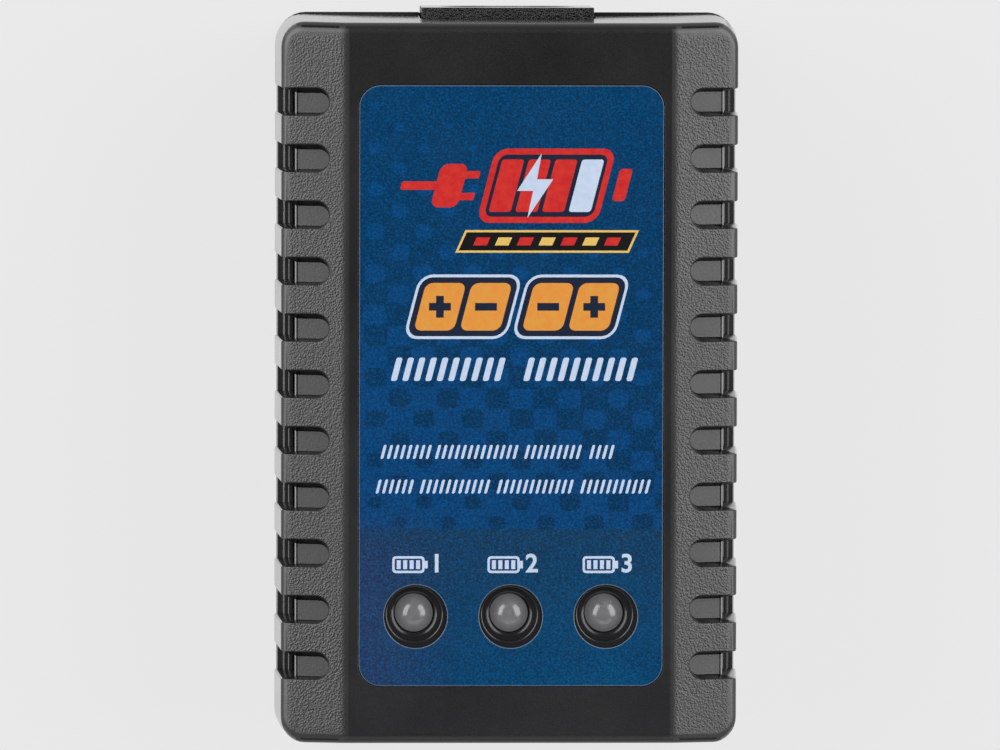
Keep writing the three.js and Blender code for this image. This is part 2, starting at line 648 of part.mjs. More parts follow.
/** Moulded chip package on two rows of legs, bent down beside the body. */
function legChip({ width, length, thickness, lift, legsPerSide, legPitch }) {
  const leg = { width: 0.55, thickness: 0.3, spread: 0.7 };
  const reach = width / 2 + leg.spread;
  const seam = lift + thickness * 0.35;
  const parts = [standingBlock(0, 0, lift, width, length, thickness)];
  for (let i = 0; i < legsPerSide; i += 1) {
    const y = (i - (legsPerSide - 1) / 2) * legPitch;
    parts.push(standingBlock(0, y, seam, 2 * reach, leg.width, leg.thickness));
    for (const side of [-1, 1]) {
      const x = side * (reach - leg.thickness / 2);
      parts.push(standingBlock(x, y, 0, leg.thickness, leg.width, seam + leg.thickness / 2));
    }
  }
  return joined(parts);
}

/** Small round time-lag fuse. */
function roundFuse({ radius, height }) {
  const edge = 0.6;
  return turned([[0, 0], [radius, 0], [radius, height - edge], [radius - edge, height], [0, height]]);
}

/** Choke: a wound drum between two ferrite flanges. */
function drumChoke({ radius, height, flange, windingInset }) {
  const blend = 0.3;
  const wound = radius - windingInset;
  return turned([
    [0, 0],
    [radius, 0],
    [radius, flange],
    [wound, flange + blend],
    [wound, height - flange - blend],
    [radius, height - flange],
    [radius, height],
    [0, height],
  ]);
}

/** Disc capacitor standing on edge, on two short legs. */
function discCapacitor({ radius, thickness, lift, legPitch, legSize }) {
  const disc = new THREE.CylinderGeometry(radius, radius, thickness, ROUND);
  const body = solid(disc.rotateZ(Math.PI / 2).translate(0, 0, lift + radius));
  const legs = [-1, 1].map((side) => (
    standingBlock(0, (side * legPitch) / 2, 0, legSize, legSize, lift + radius / 2)));
  return joined([body, ...legs]);
}

// Ferrite transformer: an E-shaped core pair, a bobbin around its middle leg and the wound coil
const CORE = { width: 19.2, depth: 5.0, height: 16.0, leg: 4.8, yoke: 2.4, lift: 1.6 };
const BOBBIN = { length: 17.0, flange: 0.9, tubeWall: 0.8, railWidth: 3.2, railFoot: 0.6 };
const COIL = { length: 15.6, corner: 3.2, gap: 0.15, inset: 0.3 };
const BOBBIN_LOW = CORE.lift + CORE.yoke + FIT;
const BOBBIN_HIGH = CORE.lift + CORE.height - CORE.yoke - FIT;
const BOBBIN_WIDTH = CORE.width - 2 * CORE.yoke - 2 * FIT;

function transformerCore() {
  const low = CORE.lift + CORE.yoke;
  const high = CORE.lift + CORE.height - CORE.yoke;
  const windowWidth = (CORE.width - CORE.leg) / 2 - CORE.yoke;
  const windowX = (CORE.leg + windowWidth) / 2;
  const windows = [-1, 1].map((side) => (
    standingBlock(side * windowX, 0, low, windowWidth, 2 * CORE.depth, high - low)));
  return standingBlock(0, 0, CORE.lift, CORE.width, CORE.depth, CORE.height).subtract(joined(windows));
}

function transformerBobbin() {
  const hole = { width: CORE.leg + 2 * FIT, length: CORE.depth + 2 * FIT };
  const tubeWidth = hole.width + 2 * BOBBIN.tubeWall;
  const tubeLength = hole.length + 2 * BOBBIN.tubeWall;
  const height = BOBBIN_HIGH - BOBBIN_LOW;
  const flanges = [BOBBIN_LOW, BOBBIN_HIGH - BOBBIN.flange].map((z) => (
    standingBlock(0, 0, z, BOBBIN_WIDTH, BOBBIN.length, BOBBIN.flange)));
  const rails = [-1, 1].map((side) => {
    const y = (side * (BOBBIN.length - BOBBIN.railWidth)) / 2;
    const railHeight = BOBBIN_LOW - BOBBIN.railFoot + BOBBIN.flange;
    return standingBlock(0, y, BOBBIN.railFoot, BOBBIN_WIDTH, BOBBIN.railWidth, railHeight);
  });
  return joined([standingBlock(0, 0, BOBBIN_LOW, tubeWidth, tubeLength, height), ...flanges, ...rails])
    .subtract(standingBlock(0, 0, BOBBIN_LOW - 1, hole.width, hole.length, height + 2));
}

function transformerWinding() {
  const low = BOBBIN_LOW + BOBBIN.flange + COIL.gap;
  const high = BOBBIN_HIGH - BOBBIN.flange - COIL.gap;
  const wall = FIT + BOBBIN.tubeWall + COIL.gap;
  const outline = roundedRectangle(BOBBIN_WIDTH - 2 * COIL.inset, COIL.length, COIL.corner);
  return prismAlongZ(outline, low, high, EDGE_SEGMENTS)
    .subtract(standingBlock(0, 0, low - 1, CORE.leg + 2 * wall, CORE.depth + 2 * wall, high - low + 2));
}

// ---------------------------------------------------------------- materials

const FINISHES = {
  caseBlack: { color: 0x262527, roughness: 0.5, metalness: 0 },
  labelBlue: { color: 0x13426c, roughness: 0.35, metalness: 0 },
  labelSilver: { color: 0xb9bcc0, roughness: 0.4, metalness: 0 },
  inletBlack: { color: 0x1a1a1b, roughness: 0.55, metalness: 0 },
  socketWhite: { color: 0xe9e6da, roughness: 0.4, metalness: 0 },
  milkyLens: { color: 0xa9a9aa, roughness: 0.25, metalness: 0 },
  plating: { color: 0xc9c8c2, roughness: 0.3, metalness: 1 },
  screwSteel: { color: 0x6d6e70, roughness: 0.35, metalness: 1 },
  boardGreen: { color: 0x1f5a35, roughness: 0.4, metalness: 0 },
  chipBlack: { color: 0x1c1c1d, roughness: 0.6, metalness: 0 },
  sleeveBlue: { color: 0x1d2c57, roughness: 0.35, metalness: 0 },
  discBlue: { color: 0x2b6fae, roughness: 0.4, metalness: 0 },
  fuseBrown: { color: 0x4a2a1b, roughness: 0.45, metalness: 0 },
  ferrite: { color: 0x2d2d30, roughness: 0.65, metalness: 0 },
  tapeYellow: { color: 0xd9b21f, roughness: 0.4, metalness: 0 },
  copper: { color: 0xa85a2a, roughness: 0.35, metalness: 1 },
};

// ---------------------------------------------------------------- assembly

const charger = new THREE.Group();
const assembly = new THREE.Group();
assembly.position.y = CASE_CENTRE_Y;
charger.add(assembly);

/** Adds one named piece to the assembly at a place in the case's own frame. */
function place(name, body, finish, position = [0, 0, 0]) {
  const mesh = new THREE.Mesh(geometryOf(body), new THREE.MeshStandardMaterial(FINISHES[finish]));
  mesh.name = name;
  mesh.position.set(...position);
  assembly.add(mesh);
}

place('top_shell', topShell(), 'caseBlack');
place('bottom_shell', bottomShell(), 'caseBlack');
place('face_label', faceLabel(), 'labelBlue');
place('rating_label', ratingLabel(), 'labelSilver');
screwPlaces().forEach(([x, y], i) => {
  place(`case_screw_${i + 1}`, caseScrew(), 'screwSteel', [x, y, SCREW_SEAT]);
});

place('main_board', mainBoard(), 'boardGreen');
place('ac_inlet', mainsInlet(), 'inletBlack');
place('inlet_pin_left', inletPin(), 'plating', [-INLET_PIN_PITCH / 2, 0, 0]);
place('inlet_pin_right', inletPin(), 'plating', [INLET_PIN_PITCH / 2, 0, 0]);
for (const { name, pins, width, centre } of socketPlaces()) {
  place(name, socketHousing(width, pins), 'socketWhite', [centre, SOCKET_FACE_Y, BOARD_TOP]);
  for (let i = 0; i < pins; i += 1) {
    const position = [centre + pinOffset(i, pins), SOCKET_FACE_Y, BOARD_TOP];
    place(`${name}_pin_${i + 1}`, socketPin(), 'plating', position);
  }
}

ledPlaces().forEach((x, i) => {
  place(`led_${i + 1}`, ledLens(), 'milkyLens', [x, LED_Y, LED_BASE_HEIGHT]);
  [-1, 0, 1].forEach((offset, leg) => {
    const position = [x + offset * LED_LEG_PITCH, LED_Y, 0];
    place(`led_${i + 1}_leg_${leg + 1}`, ledLeg(), 'plating', position);
  });
});

const onBoard = (x, y) => [x, y, BOARD_TOP];
const fuseSize = { radius: 4.1, height: 7.8 };
const chokeSize = { radius: 4.5, height: 10.8, flange: 1.6, windingInset: 0.6 };
const discSize = { radius: 4.2, thickness: 3.2, lift: 1.5, legPitch: 5.0, legSize: 0.6 };
place('fuse', roundFuse(fuseSize), 'fuseBrown', onBoard(-19.5, 28.5));
place('filter_choke', drumChoke(chokeSize), 'copper', onBoard(19.5, 28.0));
place('y_capacitor', discCapacitor(discSize), 'discBlue', onBoard(17.5, 2.5));

const diodeSize = { bodyLength: 5.2, bodyRadius: 1.35, leadSpan: 9.0, leadWidth: 0.8, lift: 1.6 };
[-7.5, -2.5, 2.5, 7.5].forEach((x, i) => {
  place(`rectifier_diode_${i + 1}`, axialDiode(diodeSize), 'chipBlack', onBoard(x, 20.5));
});
[16.0, 4.5].forEach((y, i) => {
  const body = canCapacitor({ radius: 5.0, height: 16.0 });
  place(`bulk_capacitor_${i + 1}`, body, 'sleeveBlue', onBoard(-19.5, y));
});

const controllerSize = {
  width: 6.4, length: 9.4, thickness: 3.4, lift: 0.7, legsPerSide: 4, legPitch: 2.54,
};
const couplerSize = { ...controllerSize, length: 4.6, legsPerSide: 2 };
place('controller_chip', legChip(controllerSize), 'chipBlack', onBoard(19.5, 14.0));
place('optocoupler', legChip(couplerSize), 'chipBlack', onBoard(20.5, -8.0));

place('transformer_core', transformerCore(), 'ferrite', onBoard(1.5, 5.0));
place('transformer_bobbin', transformerBobbin(), 'chipBlack', onBoard(1.5, 5.0));
place('transformer_winding', transformerWinding(), 'tapeYellow', onBoard(1.5, 5.0));

// One charging channel for each cell: rectifier, smoothing capacitor and charge chip
const rectifierSize = {
  width: 4.3, length: 2.6, thickness: 1.9, lift: 0.2, legsPerSide: 1, legPitch: 0,
};
const chargerSize = {
  width: 5.0, length: 6.4, thickness: 1.5, lift: 0.2, legsPerSide: 4, legPitch: 1.4,
};
[-17, -4, 9].forEach((x, i) => {
  const smoothing = canCapacitor({ radius: 3.15, height: 11.0 });
  place(`output_diode_${i + 1}`, legChip(rectifierSize), 'chipBlack', onBoard(x, -7.0));
  place(`output_capacitor_${i + 1}`, smoothing, 'sleeveBlue', onBoard(x, -13.0));
  place(`charge_chip_${i + 1}`, legChip(chargerSize), 'chipBlack', onBoard(x, -21.5));
});

export default charger;
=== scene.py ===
"""Balance battery charger: the looks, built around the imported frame.

+Z is up and +Y points to the mains inlet. Shapes are worked out in millimetres in the frame's own
axes, and turned into metres where a mesh is made.
"""

import math

import bmesh
import bpy
from mathutils import Matrix, Vector


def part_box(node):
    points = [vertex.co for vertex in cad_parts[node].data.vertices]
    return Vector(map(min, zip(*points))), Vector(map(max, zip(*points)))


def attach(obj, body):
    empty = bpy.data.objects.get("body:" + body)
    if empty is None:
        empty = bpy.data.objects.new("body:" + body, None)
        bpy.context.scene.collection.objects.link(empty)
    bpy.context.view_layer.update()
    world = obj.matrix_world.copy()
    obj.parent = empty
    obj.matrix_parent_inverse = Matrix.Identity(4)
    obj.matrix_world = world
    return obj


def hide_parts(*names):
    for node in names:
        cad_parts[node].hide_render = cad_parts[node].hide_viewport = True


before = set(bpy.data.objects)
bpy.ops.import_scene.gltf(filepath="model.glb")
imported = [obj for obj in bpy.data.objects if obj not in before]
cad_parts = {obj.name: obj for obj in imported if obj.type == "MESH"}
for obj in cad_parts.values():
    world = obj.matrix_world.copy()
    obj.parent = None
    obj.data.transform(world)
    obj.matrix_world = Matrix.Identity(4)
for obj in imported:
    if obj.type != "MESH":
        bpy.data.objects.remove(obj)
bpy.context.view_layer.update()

MM = 0.001

# ---------------------------------------------------------------- sizes read from the frame


def box_mm(node):
    """Lowest and highest corner of a CAD node, in millimetres."""
    low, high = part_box(node)
    return Vector(low) / MM, Vector(high) / MM


def middle(node):
    """The middle of a CAD node's box, in millimetres."""
    low, high = box_mm(node)
    return (low + high) / 2


top_low, top_high = box_mm("top_shell")
base_low, base_high = box_mm("bottom_shell")
label_low, label_high = box_mm("face_label")
inlet_low, inlet_high = box_mm("ac_inlet")
CASE_Y = (top_low.y + top_high.y) / 2
HALF_WIDTH = top_high.x
HALF_LENGTH = (top_high.y - top_low.y) / 2
BASE_HALF_WIDTH = base_high.x
BASE_HALF_LENGTH = (base_high.y - base_low.y) / 2
CASE_TOP = top_high.z
PARTING = (inlet_low.z + inlet_high.z) / 2
LABEL_MIDDLE = (label_low + label_high) / 2
LABEL_X = LABEL_MIDDLE.x
LABEL_HALF = (label_high - label_low) / 2
INLET_HALF = (inlet_high - inlet_low) / 2
LED_PLACES = [middle(f"led_{i}") for i in (1, 2, 3)]
LED_TOP = box_mm("led_1")[1].z
SCREW_PLACES = [middle(f"case_screw_{i}") for i in (1, 2, 3, 4)]

# Case form
PARTING_GAP = 0.2
SIDE_DRAFT = 0.85
END_DRAFT = 0.55
REAR_FLARE = 0.3              # how far the rear wall's ends stand out at the parting line
CORNER = 3.6
WALL = 1.9
END_EDGE = 1.25
SIDE_EDGE = 0.75
PLATFORM = 20.4
CREASE = 0.45                 # half the width of the soft bend beside the platform
SLOPE = 0.33
LIP_THICKNESS = 0.85
RIM_RELIEF = 0.2              # how much narrower the base's rim is on each side
LIP_HEIGHT = 2.0
FIT = 0.25
LEDGE_HALF_LENGTH = 39        # ledges inside the base, below the vents
LABEL_CORNER = 2.7
LABEL_FIT = 0.1
HOLE_SHIFT = (0.15, -0.25)    # from each LED to its hole in the face sticker
LED_RADIUS = 2.35
LED_DOME = 2.05
INLET_FLANGE = 1.5

# Vent slots
SLOT_COUNT = 11
SLOT_PITCH = 7.0
SLOT_SHIFT = -0.08
SLOT_INNER_END = 22.2
SLOT_RIM = 0.22
SLOT_HALF_WIDTH = 1.68
SLOT_FLOOR_HALF = 1.32
SLOT_DEPTH = 1.3
SLOT_FLOOR_SHIFT = {-1: -0.18, 1: 0.03}    # along the case, on its left and right side
SLOT_FLOOR_END = 26.62
SLOT_FLOOR_THICKNESS = 0.75
SCORE_PLACE = 0.31            # from a floor's outer end to its scored line

# ---------------------------------------------------------------- mesh helpers


def new_object(name, mesh):
    obj = bpy.data.objects.new(name, mesh)
    bpy.context.scene.collection.objects.link(obj)
    return obj


def solid_from(name, points, faces):
    """A closed mesh object from points in millimetres, with its faces pointing out."""
    mesh = bpy.data.meshes.new(name)
    mesh.from_pydata([Vector(p) * MM for p in points], [], faces)
    build = bmesh.new()
    build.from_mesh(mesh)
    bmesh.ops.recalc_face_normals(build, faces=build.faces)
    build.to_mesh(mesh)
    build.free()
    return new_object(name, mesh)


def skin(rings, count):
    """The faces between neighbouring rings of count points each."""
    faces = []
    for start in range(0, (rings - 1) * count, count):
        for i in range(count):
            j = (i + 1) % count
            faces.append((start + i, start + j, start + count + j, start + count + i))
    return faces


def loft(name, rings):
    """A solid skinned over rings of equal length and capped at both ends."""
    count = len(rings[0])
    points = [p for ring in rings for p in ring]
    caps = [tuple(range(count)), tuple(range(len(points) - count, len(points)))]
    return solid_from(name, points, caps + skin(len(rings), count))


def rounded_outline(half_x, half_y, corner, segments=8, x_lines=()):
    """A rounded rectangle as (point, outward direction) pairs; x_lines adds points on both ends."""
    lines = sorted(x_lines, reverse=True)
    outline = []
    for quarter, (sx, sy) in enumerate([(1, 1), (-1, 1), (-1, -1), (1, -1)]):
        for k in range(segments + 1):
            angle = (quarter + k / segments) * math.pi / 2
            out = Vector((math.cos(angle), math.sin(angle)))
            centre = Vector((sx * (half_x - corner), sy * (half_y - corner)))
            outline.append((centre + out * corner, out))
        if quarter == 0:
            outline += [(Vector((x, half_y)), Vector((0, 1))) for x in lines]
        if quarter == 2:
            outline += [(Vector((x, -half_y)), Vector((0, -1))) for x in reversed(lines)]
    return outline


def circle_outline(radius, segments=48):
    turns = [2 * math.pi * k / segments for k in range(segments)]
    directions = [Vector((math.cos(a), math.sin(a))) for a in turns]
    return [(out * radius, out) for out in directions]


def polygon_outline(points):
    return [(Vector(p), Vector((0, 0))) for p in points]


def stack(name, outline, levels, centre=(0, 0, 0), axis="Z"):
    """Copies an outline at each (inset, height) level and skins over them, along Z, Y or X."""
    origin = Vector(centre)
    rings = []
    for inset, height in levels:
        ring = []
        for point, out in outline:
            a, b = point - out * inset
            local = {"Z": (a, b, height), "Y": (a, height, b), "X": (height, a, b)}[axis]
            ring.append(origin + Vector(local))
        rings.append(ring)
    return loft(name, rings)


def turned(name, profile, place, segments=48):
    """A solid of revolution about an upright axis at a place, from (radius, height) pairs."""
    return stack(name, circle_outline(0, segments), [(-r, z) for r, z in profile], (place.x, place.y, 0))


def rod(name, radius, low, high, place, segments=48):
    """A plain upright cylinder between two heights."""
    return stack(name, circle_outline(radius, segments), [(0, low), (0, high)], (place.x, place.y, 0))


def rounding(radius, steps=4, turn=math.radians(80)):
    """Points of a rounded edge, as pairs of radius * (1 - cos) and radius * (1 - sin) of its turn."""
    angles = [turn * k / steps for k in range(steps + 1)]
    return [(radius * (1 - math.cos(angle)), radius * (1 - math.sin(angle))) for angle in angles]


def rounded_levels(low, high, low_radius, high_radius, steps=4):
    """Levels of a prism whose edges are rounded by a radius at each end, or square where it is 0."""
    levels = []
    quarter = [k / steps * math.pi / 2 for k in range(steps + 1)]
    if low_radius:
        for angle in quarter:
            levels.append((low_radius * (1 - math.sin(angle)), low + low_radius * (1 - math.cos(angle))))
    else:
        levels.append((0, low))
    if high_radius:
        for angle in reversed(quarter):
            inset = high_radius * (1 - math.sin(angle))
            levels.append((inset, high - high_radius * (1 - math.cos(angle))))
    else:
        levels.append((0, high))
    return levels


def block(name, low, high, edge=0.0):
    """A box between two corners, with its upright and end edges rounded."""
    low, high = Vector(low), Vector(high)
    half = (high - low) / 2
    centre = (low + high) / 2
    corner = max(edge, 1e-3)
    outline = rounded_outline(half.x, half.y, corner, 3 if edge else 1)
    return stack(name, outline, rounded_levels(-half.z, half.z, edge, edge, 3), centre)


def evaluated_mesh(obj):
    graph = bpy.context.evaluated_depsgraph_get()
    return bpy.data.meshes.new_from_object(obj.evaluated_get(graph))


def apply_modifiers(obj):
    mesh, old = evaluated_mesh(obj), obj.data
    obj.modifiers.clear()
    obj.data = mesh
    bpy.data.meshes.remove(old)


def join(name, objects):
    """Puts several objects' meshes into one object."""
    build = bmesh.new()
    for obj in objects:
        build.from_mesh(obj.data)
    mesh = bpy.data.meshes.new(name)
    build.to_mesh(mesh)
    build.free()
    for obj in objects:
        bpy.data.objects.remove(obj)
    return new_object(name, mesh)


def combine(obj, tools, operation):
    """Cuts separate tools away from an object, or adds them to it."""
    tool = join("tool", tools)
    modifier = obj.modifiers.new("combine", "BOOLEAN")
    modifier.operation = operation
    modifier.solver = "MANIFOLD"
    modifier.object = tool
    apply_modifiers(obj)
    bpy.data.objects.remove(tool)


def cut(obj, *tools):
    combine(obj, tools, "DIFFERENCE")


def add(obj, *tools):
    combine(obj, tools, "UNION")


def smooth(obj, angle=32):
    """Smooth shading across gentle bends only, with the large faces keeping their own direction."""
    mesh = obj.data
    mesh.polygons.foreach_set("use_smooth", [True] * len(mesh.polygons))
    mesh.set_sharp_from_angle(angle=math.radians(angle))
    modifier = obj.modifiers.new("normals", "WEIGHTED_NORMAL")
    modifier.keep_sharp = True
    modifier.weight = 100
    apply_modifiers(obj)
    return obj


# ---------------------------------------------------------------- materials


def srgb(red, green, blue):
    """A linear colour from 0-255 display values."""
    def channel(value):
        value /= 255
        return value / 12.92 if value <= 0.04045 else ((value + 0.055) / 1.055) ** 2.4
    return (channel(red), channel(green), channel(blue), 1.0)


class Nodes:
    """Short names for building one material's node tree."""

    def __init__(self, name):
        self.material = bpy.data.materials.new(name)
        self.material.use_nodes = True
        self.tree = self.material.node_tree
        self.shader = self.tree.nodes["Principled BSDF"]
        self.place = self.new("ShaderNodeTexCoord").outputs["Object"]

    def new(self, kind, **settings):
        node = self.tree.nodes.new(kind)
        for key, value in settings.items():
            setattr(node, key, value)
        return node

    def feed(self, socket, value):
        if isinstance(value, bpy.types.NodeSocket):
            self.tree.links.new(value, socket)
        else:
            socket.default_value = value

    def set(self, **values):
        for key, value in values.items():
            self.feed(self.shader.inputs[key.replace("_", " ")], value)
        return self

    def math(self, operation, a, b=0.0, c=0.0):
        node = self.new("ShaderNodeMath", operation=operation)
        for socket, value in zip(node.inputs, (a, b, c)):
            self.feed(socket, value)
        return node.outputs[0]

    def times(self, a, b):
        return self.math("MULTIPLY", a, b)

    def plus(self, a, b):
        return self.math("ADD", a, b)

    def minus(self, a, b):
        return self.math("SUBTRACT", a, b)

    def noise(self, size, detail=3.0, roughness=0.55, place=None):
        """Noise whose features are about size millimetres across, from 0 to 1."""
        node = self.new("ShaderNodeTexNoise")
        self.feed(node.inputs["Vector"], place or self.place)
        node.inputs["Scale"].default_value = 1 / (size * MM)
        node.inputs["Detail"].default_value = detail
        node.inputs["Roughness"].default_value = roughness
        return node.outputs["Fac"]

    def cells(self, size, feature="F1"):
        node = self.new("ShaderNodeTexVoronoi", feature=feature)
        self.feed(node.inputs["Vector"], self.place)
        node.inputs["Scale"].default_value = 1 / (size * MM)
        return node.outputs["Distance"]

    def ramp(self, value, low, high, start=0.0, end=1.0):
        """Maps value from low..high to start..end, held at both ends."""
        node = self.new("ShaderNodeMapRange")
        for socket, number in zip(node.inputs, (value, low, high, start, end)):
            self.feed(socket, number)
        return node.outputs[0]

    def mix(self, factor, first, second):
        node = self.new("ShaderNodeMix", data_type="RGBA")
        self.feed(node.inputs[0], factor)
        self.feed(node.inputs[6], first)
        self.feed(node.inputs[7], second)
        return node.outputs[2]

    def stretched(self, scale):
        node = self.new("ShaderNodeMapping")
        self.feed(node.inputs["Vector"], self.place)
        node.inputs["Scale"].default_value = scale
        return node.outputs["Vector"]

    def split(self):
        node = self.new("ShaderNodeSeparateXYZ")
        self.feed(node.inputs[0], self.place)
        return node.outputs

    def bump(self, height, depth):
        """Raises the surface by depth millimetres where height is 1."""
        node = self.new("ShaderNodeBump")
        node.inputs["Distance"].default_value = depth * MM
        self.feed(node.inputs["Height"], height)
        return node.outputs["Normal"]


def scaled(colour, factor):
    return tuple(c * factor for c in colour[:3]) + (1.0,)


def shoulder_mask(n):
    """1 well inside each shoulder of the case, fading to 0 near the shoulder's borders."""
    axes = n.split()
    across = n.math("ABSOLUTE", axes[0])
    along = n.math("ABSOLUTE", n.minus(axes[1], CASE_Y * MM))
    inner = n.ramp(across, (PLATFORM - 0.2) * MM, (PLATFORM + 0.6) * MM)
    outer = n.ramp(across, (HALF_WIDTH - 1.4) * MM, (HALF_WIDTH - 1.9) * MM)
    ends = n.ramp(along, (HALF_LENGTH - 1.5) * MM, (HALF_LENGTH - 2.5) * MM)
    return n.times(n.times(inner, outer), ends)


def moulded(name, colour, roughness, grain, depth, spread=0.08, specular=0.5, coat=0.0, mask=None,
            painted_rear_shade=1.0):
    """Moulded plastic: grain of a given size and depth, uneven gloss and faint scuffs.

    The last argument sets how much darker the colour is painted at the rear of the case than at the front,
    as painted shade.
    """
    n = Nodes(name)
    grains = n.noise(grain * 0.8, 2.0, 0.6)
    pebbles = n.minus(1.0, n.ramp(n.cells(grain), 0.1, 0.75))
    height = n.plus(pebbles, n.times(grains, 0.8))
    if mask:
        height = n.times(height, mask(n))
    patches = n.noise(14, 4.0)
    scuffs = n.ramp(n.noise(3.0, 6.0, 0.7, n.stretched((1.0, 0.25, 1.0))), 0.62, 0.75)
    wear_and_shade = n.mix(n.times(scuffs, 0.35), colour, scaled(colour, 1.6))
    wear_and_shade = n.mix(n.ramp(patches, 0.3, 0.7), scaled(colour, 0.86), wear_and_shade)
    # Painted shade: the colour darkens towards the rear of the case.
    if painted_rear_shade < 1:
        wear_and_shade = n.mix(n.ramp(n.split()[1], -HALF_LENGTH * MM, HALF_LENGTH * MM), wear_and_shade, scaled(colour, painted_rear_shade))
    n.set(
        Base_Color=wear_and_shade,
        Roughness=n.plus(n.ramp(patches, 0.3, 0.7, roughness - spread / 2, roughness + spread / 2),
                         n.times(n.minus(grains, 0.5), 0.12)),
        Specular_IOR_Level=specular,
        Coat_Weight=coat,
        Coat_Roughness=0.1,
        Normal=n.bump(height, depth),
    )
    return n.material


def metal(name, colour, roughness=0.3, brush=(1.0, 1.0, 0.1), size=0.25):
    """Plated or drawn metal with fine marks along one direction and patches of dulling."""
    n = Nodes(name)
    marks = n.noise(size, 3.0, 0.6, n.stretched(brush))
    dull = n.noise(1.8, 4.0)
    n.set(
        Base_Color=n.mix(n.ramp(dull, 0.35, 0.7), colour, scaled(colour, 0.72)),
        Roughness=n.plus(n.ramp(dull, 0.3, 0.7, roughness - 0.07, roughness + 0.12),
                         n.times(n.minus(marks, 0.5), 0.2)),
        Metallic=1.0,
        Normal=n.bump(marks, 0.004),
    )
    return n.material


def milky_lens():
    """Diffused LED epoxy: cloudy and polished outside, with painted glow on its dome in place of light let
    through.
    """
    n = Nodes("milky_lens")
    cloud = n.noise(1.4, 3.0)
    dome = (LED_TOP - LED_RADIUS) * MM
    n.set(
        Base_Color=n.mix(n.ramp(cloud, 0.3, 0.7), srgb(66, 66, 68), srgb(74, 74, 76)),
        Roughness=n.ramp(n.noise(0.6, 4.0), 0.3, 0.7, 0.14, 0.22),
        # Painted glow: emission on the dome, fading out below it, keeps the unlit lens evenly grey to its
        # edge.
        Emission_Color=srgb(160, 160, 163),
        Emission_Strength=n.ramp(n.split()[2], dome - 1.0 * MM, dome + 0.2 * MM, 0.0, 0.25),
        Subsurface_Weight=1.0,
        Subsurface_Radius=(0.0015, 0.0015, 0.0015),
        Subsurface_Scale=1.0,
        Specular_IOR_Level=0.62,
        Normal=n.bump(n.noise(0.5, 2.0), 0.0015),
    )
    return n.material


def face_print():
    """The blue sticker: a halftone that passes from light dots to dark dots, and a plain band."""
    n = Nodes("face_print")
    axes = n.split()
    x = n.minus(n.math("DIVIDE", axes[0], MM), LABEL_X)
    y = n.minus(n.math("DIVIDE", axes[1], MM), CASE_Y)
    noise = n.noise(6.0, 2.0)
    period_x, period_y = 6.03, 5.17
    wave_x = n.math("COSINE", n.times(n.plus(x, 16.86), 2 * math.pi / period_x))
    wave_y = n.math("COSINE", n.times(n.minus(y, 34.45), 2 * math.pi / period_y))
    wave = n.times(wave_x, wave_y)
    level = n.plus(n.math("MULTIPLY_ADD", x, 0.0152, 0.068), n.times(y, 0.0286))
    dots = n.ramp(n.minus(wave, level), -0.09, 0.09)

    height = n.ramp(y, label_low.y - CASE_Y, label_high.y - CASE_Y)
    dark = n.mix(n.ramp(height, 0.3, 1.0), srgb(4, 40, 71), srgb(1, 47, 81))
    light = n.mix(n.ramp(height, 0.3, 0.9), srgb(5, 51, 93), srgb(2, 53, 96))
    field = n.mix(dots, dark, light)
    plain = n.mix(n.ramp(height, 0.27, 0.0), srgb(16, 46, 72), srgb(3, 50, 83))
    corner = n.times(n.ramp(height, 0.28, 0.02), n.ramp(x, -8.0, 18.0))
    plain = n.mix(n.times(n.times(corner, n.ramp(noise, 0.35, 0.6)), 0.6), plain,
                  srgb(0, 63, 98))
    ground = n.mix(n.ramp(y, -18.05, -17.95), plain, field)
    violet = n.times(n.ramp(height, 0.3, 0.2), n.ramp(x, -6.0, -17.0, 0.0, 0.8))
    ground = n.mix(violet, ground, srgb(32, 46, 76))
    speckle = n.noise(0.24, 1.0, 0.6)
    ground = n.mix(n.ramp(speckle, 0.5, 0.75, 0.0, 0.6), ground, srgb(8, 24, 42))
    ground = n.mix(n.ramp(speckle, 0.5, 0.25, 0.0, 0.4), ground, srgb(8, 82, 138))
    n.set(
        Base_Color=ground,
        Roughness=n.ramp(n.noise(5.0, 4.0), 0.3, 0.7, 0.24, 0.32),
        Specular_IOR_Level=0.22,
        Normal=n.bump(n.noise(0.35, 3.0), 0.001),
    )
    return n.material


def ink(name, colour, second=None):
    """Screen-printed ink under the sticker's film, with slight unevenness."""
    n = Nodes(name)
    n.set(
        Base_Color=n.mix(n.ramp(n.noise(0.8, 3.0), 0.3, 0.7), colour, second or scaled(colour, 0.93)),
        Roughness=n.ramp(n.noise(3.0, 3.0), 0.3, 0.7, 0.26, 0.34),
        Specular_IOR_Level=0.35,
        Normal=n.bump(n.noise(0.3, 2.0), 0.001),
    )
    return n.material


def solder_mask():
    """Circuit board: green mask over copper tracks, with pads along the tracks."""
    n = Nodes("solder_mask")
    tracks = n.cells(3.2, "DISTANCE_TO_EDGE")
    raised = n.ramp(tracks, 0.1, 0.16)
    weave = n.noise(0.5, 2.0)
    green = n.mix(raised, srgb(26, 74, 44), srgb(38, 104, 58))
    n.set(
        Base_Color=n.mix(n.ramp(weave, 0.3, 0.7, 0.0, 0.25), green, srgb(18, 52, 34)),
        Roughness=n.ramp(weave, 0.3, 0.7, 0.28, 0.42),
        Normal=n.bump(raised, 0.03),
    )
    return n.material


def wound_wire(name, colour, pitch, along="Z"):
    """Enamelled wire in close turns stacked along one axis."""
    n = Nodes(name)
    height = n.split()["XYZ".index(along)]
    wave = n.math("ABSOLUTE", n.math("SINE", n.times(height, math.pi / (pitch * MM))))
    n.set(
        # Painted shade: the colour darkens to 0.4 in the grooves between turns.
        Base_Color=n.mix(wave, scaled(colour, 0.4), colour),
        Roughness=n.ramp(n.noise(1.5, 3.0), 0.3, 0.7, 0.25, 0.4),
        Metallic=0.85,
        Normal=n.bump(wave, 0.1),
    )
    return n.material


BLACK = srgb(24, 24, 26)

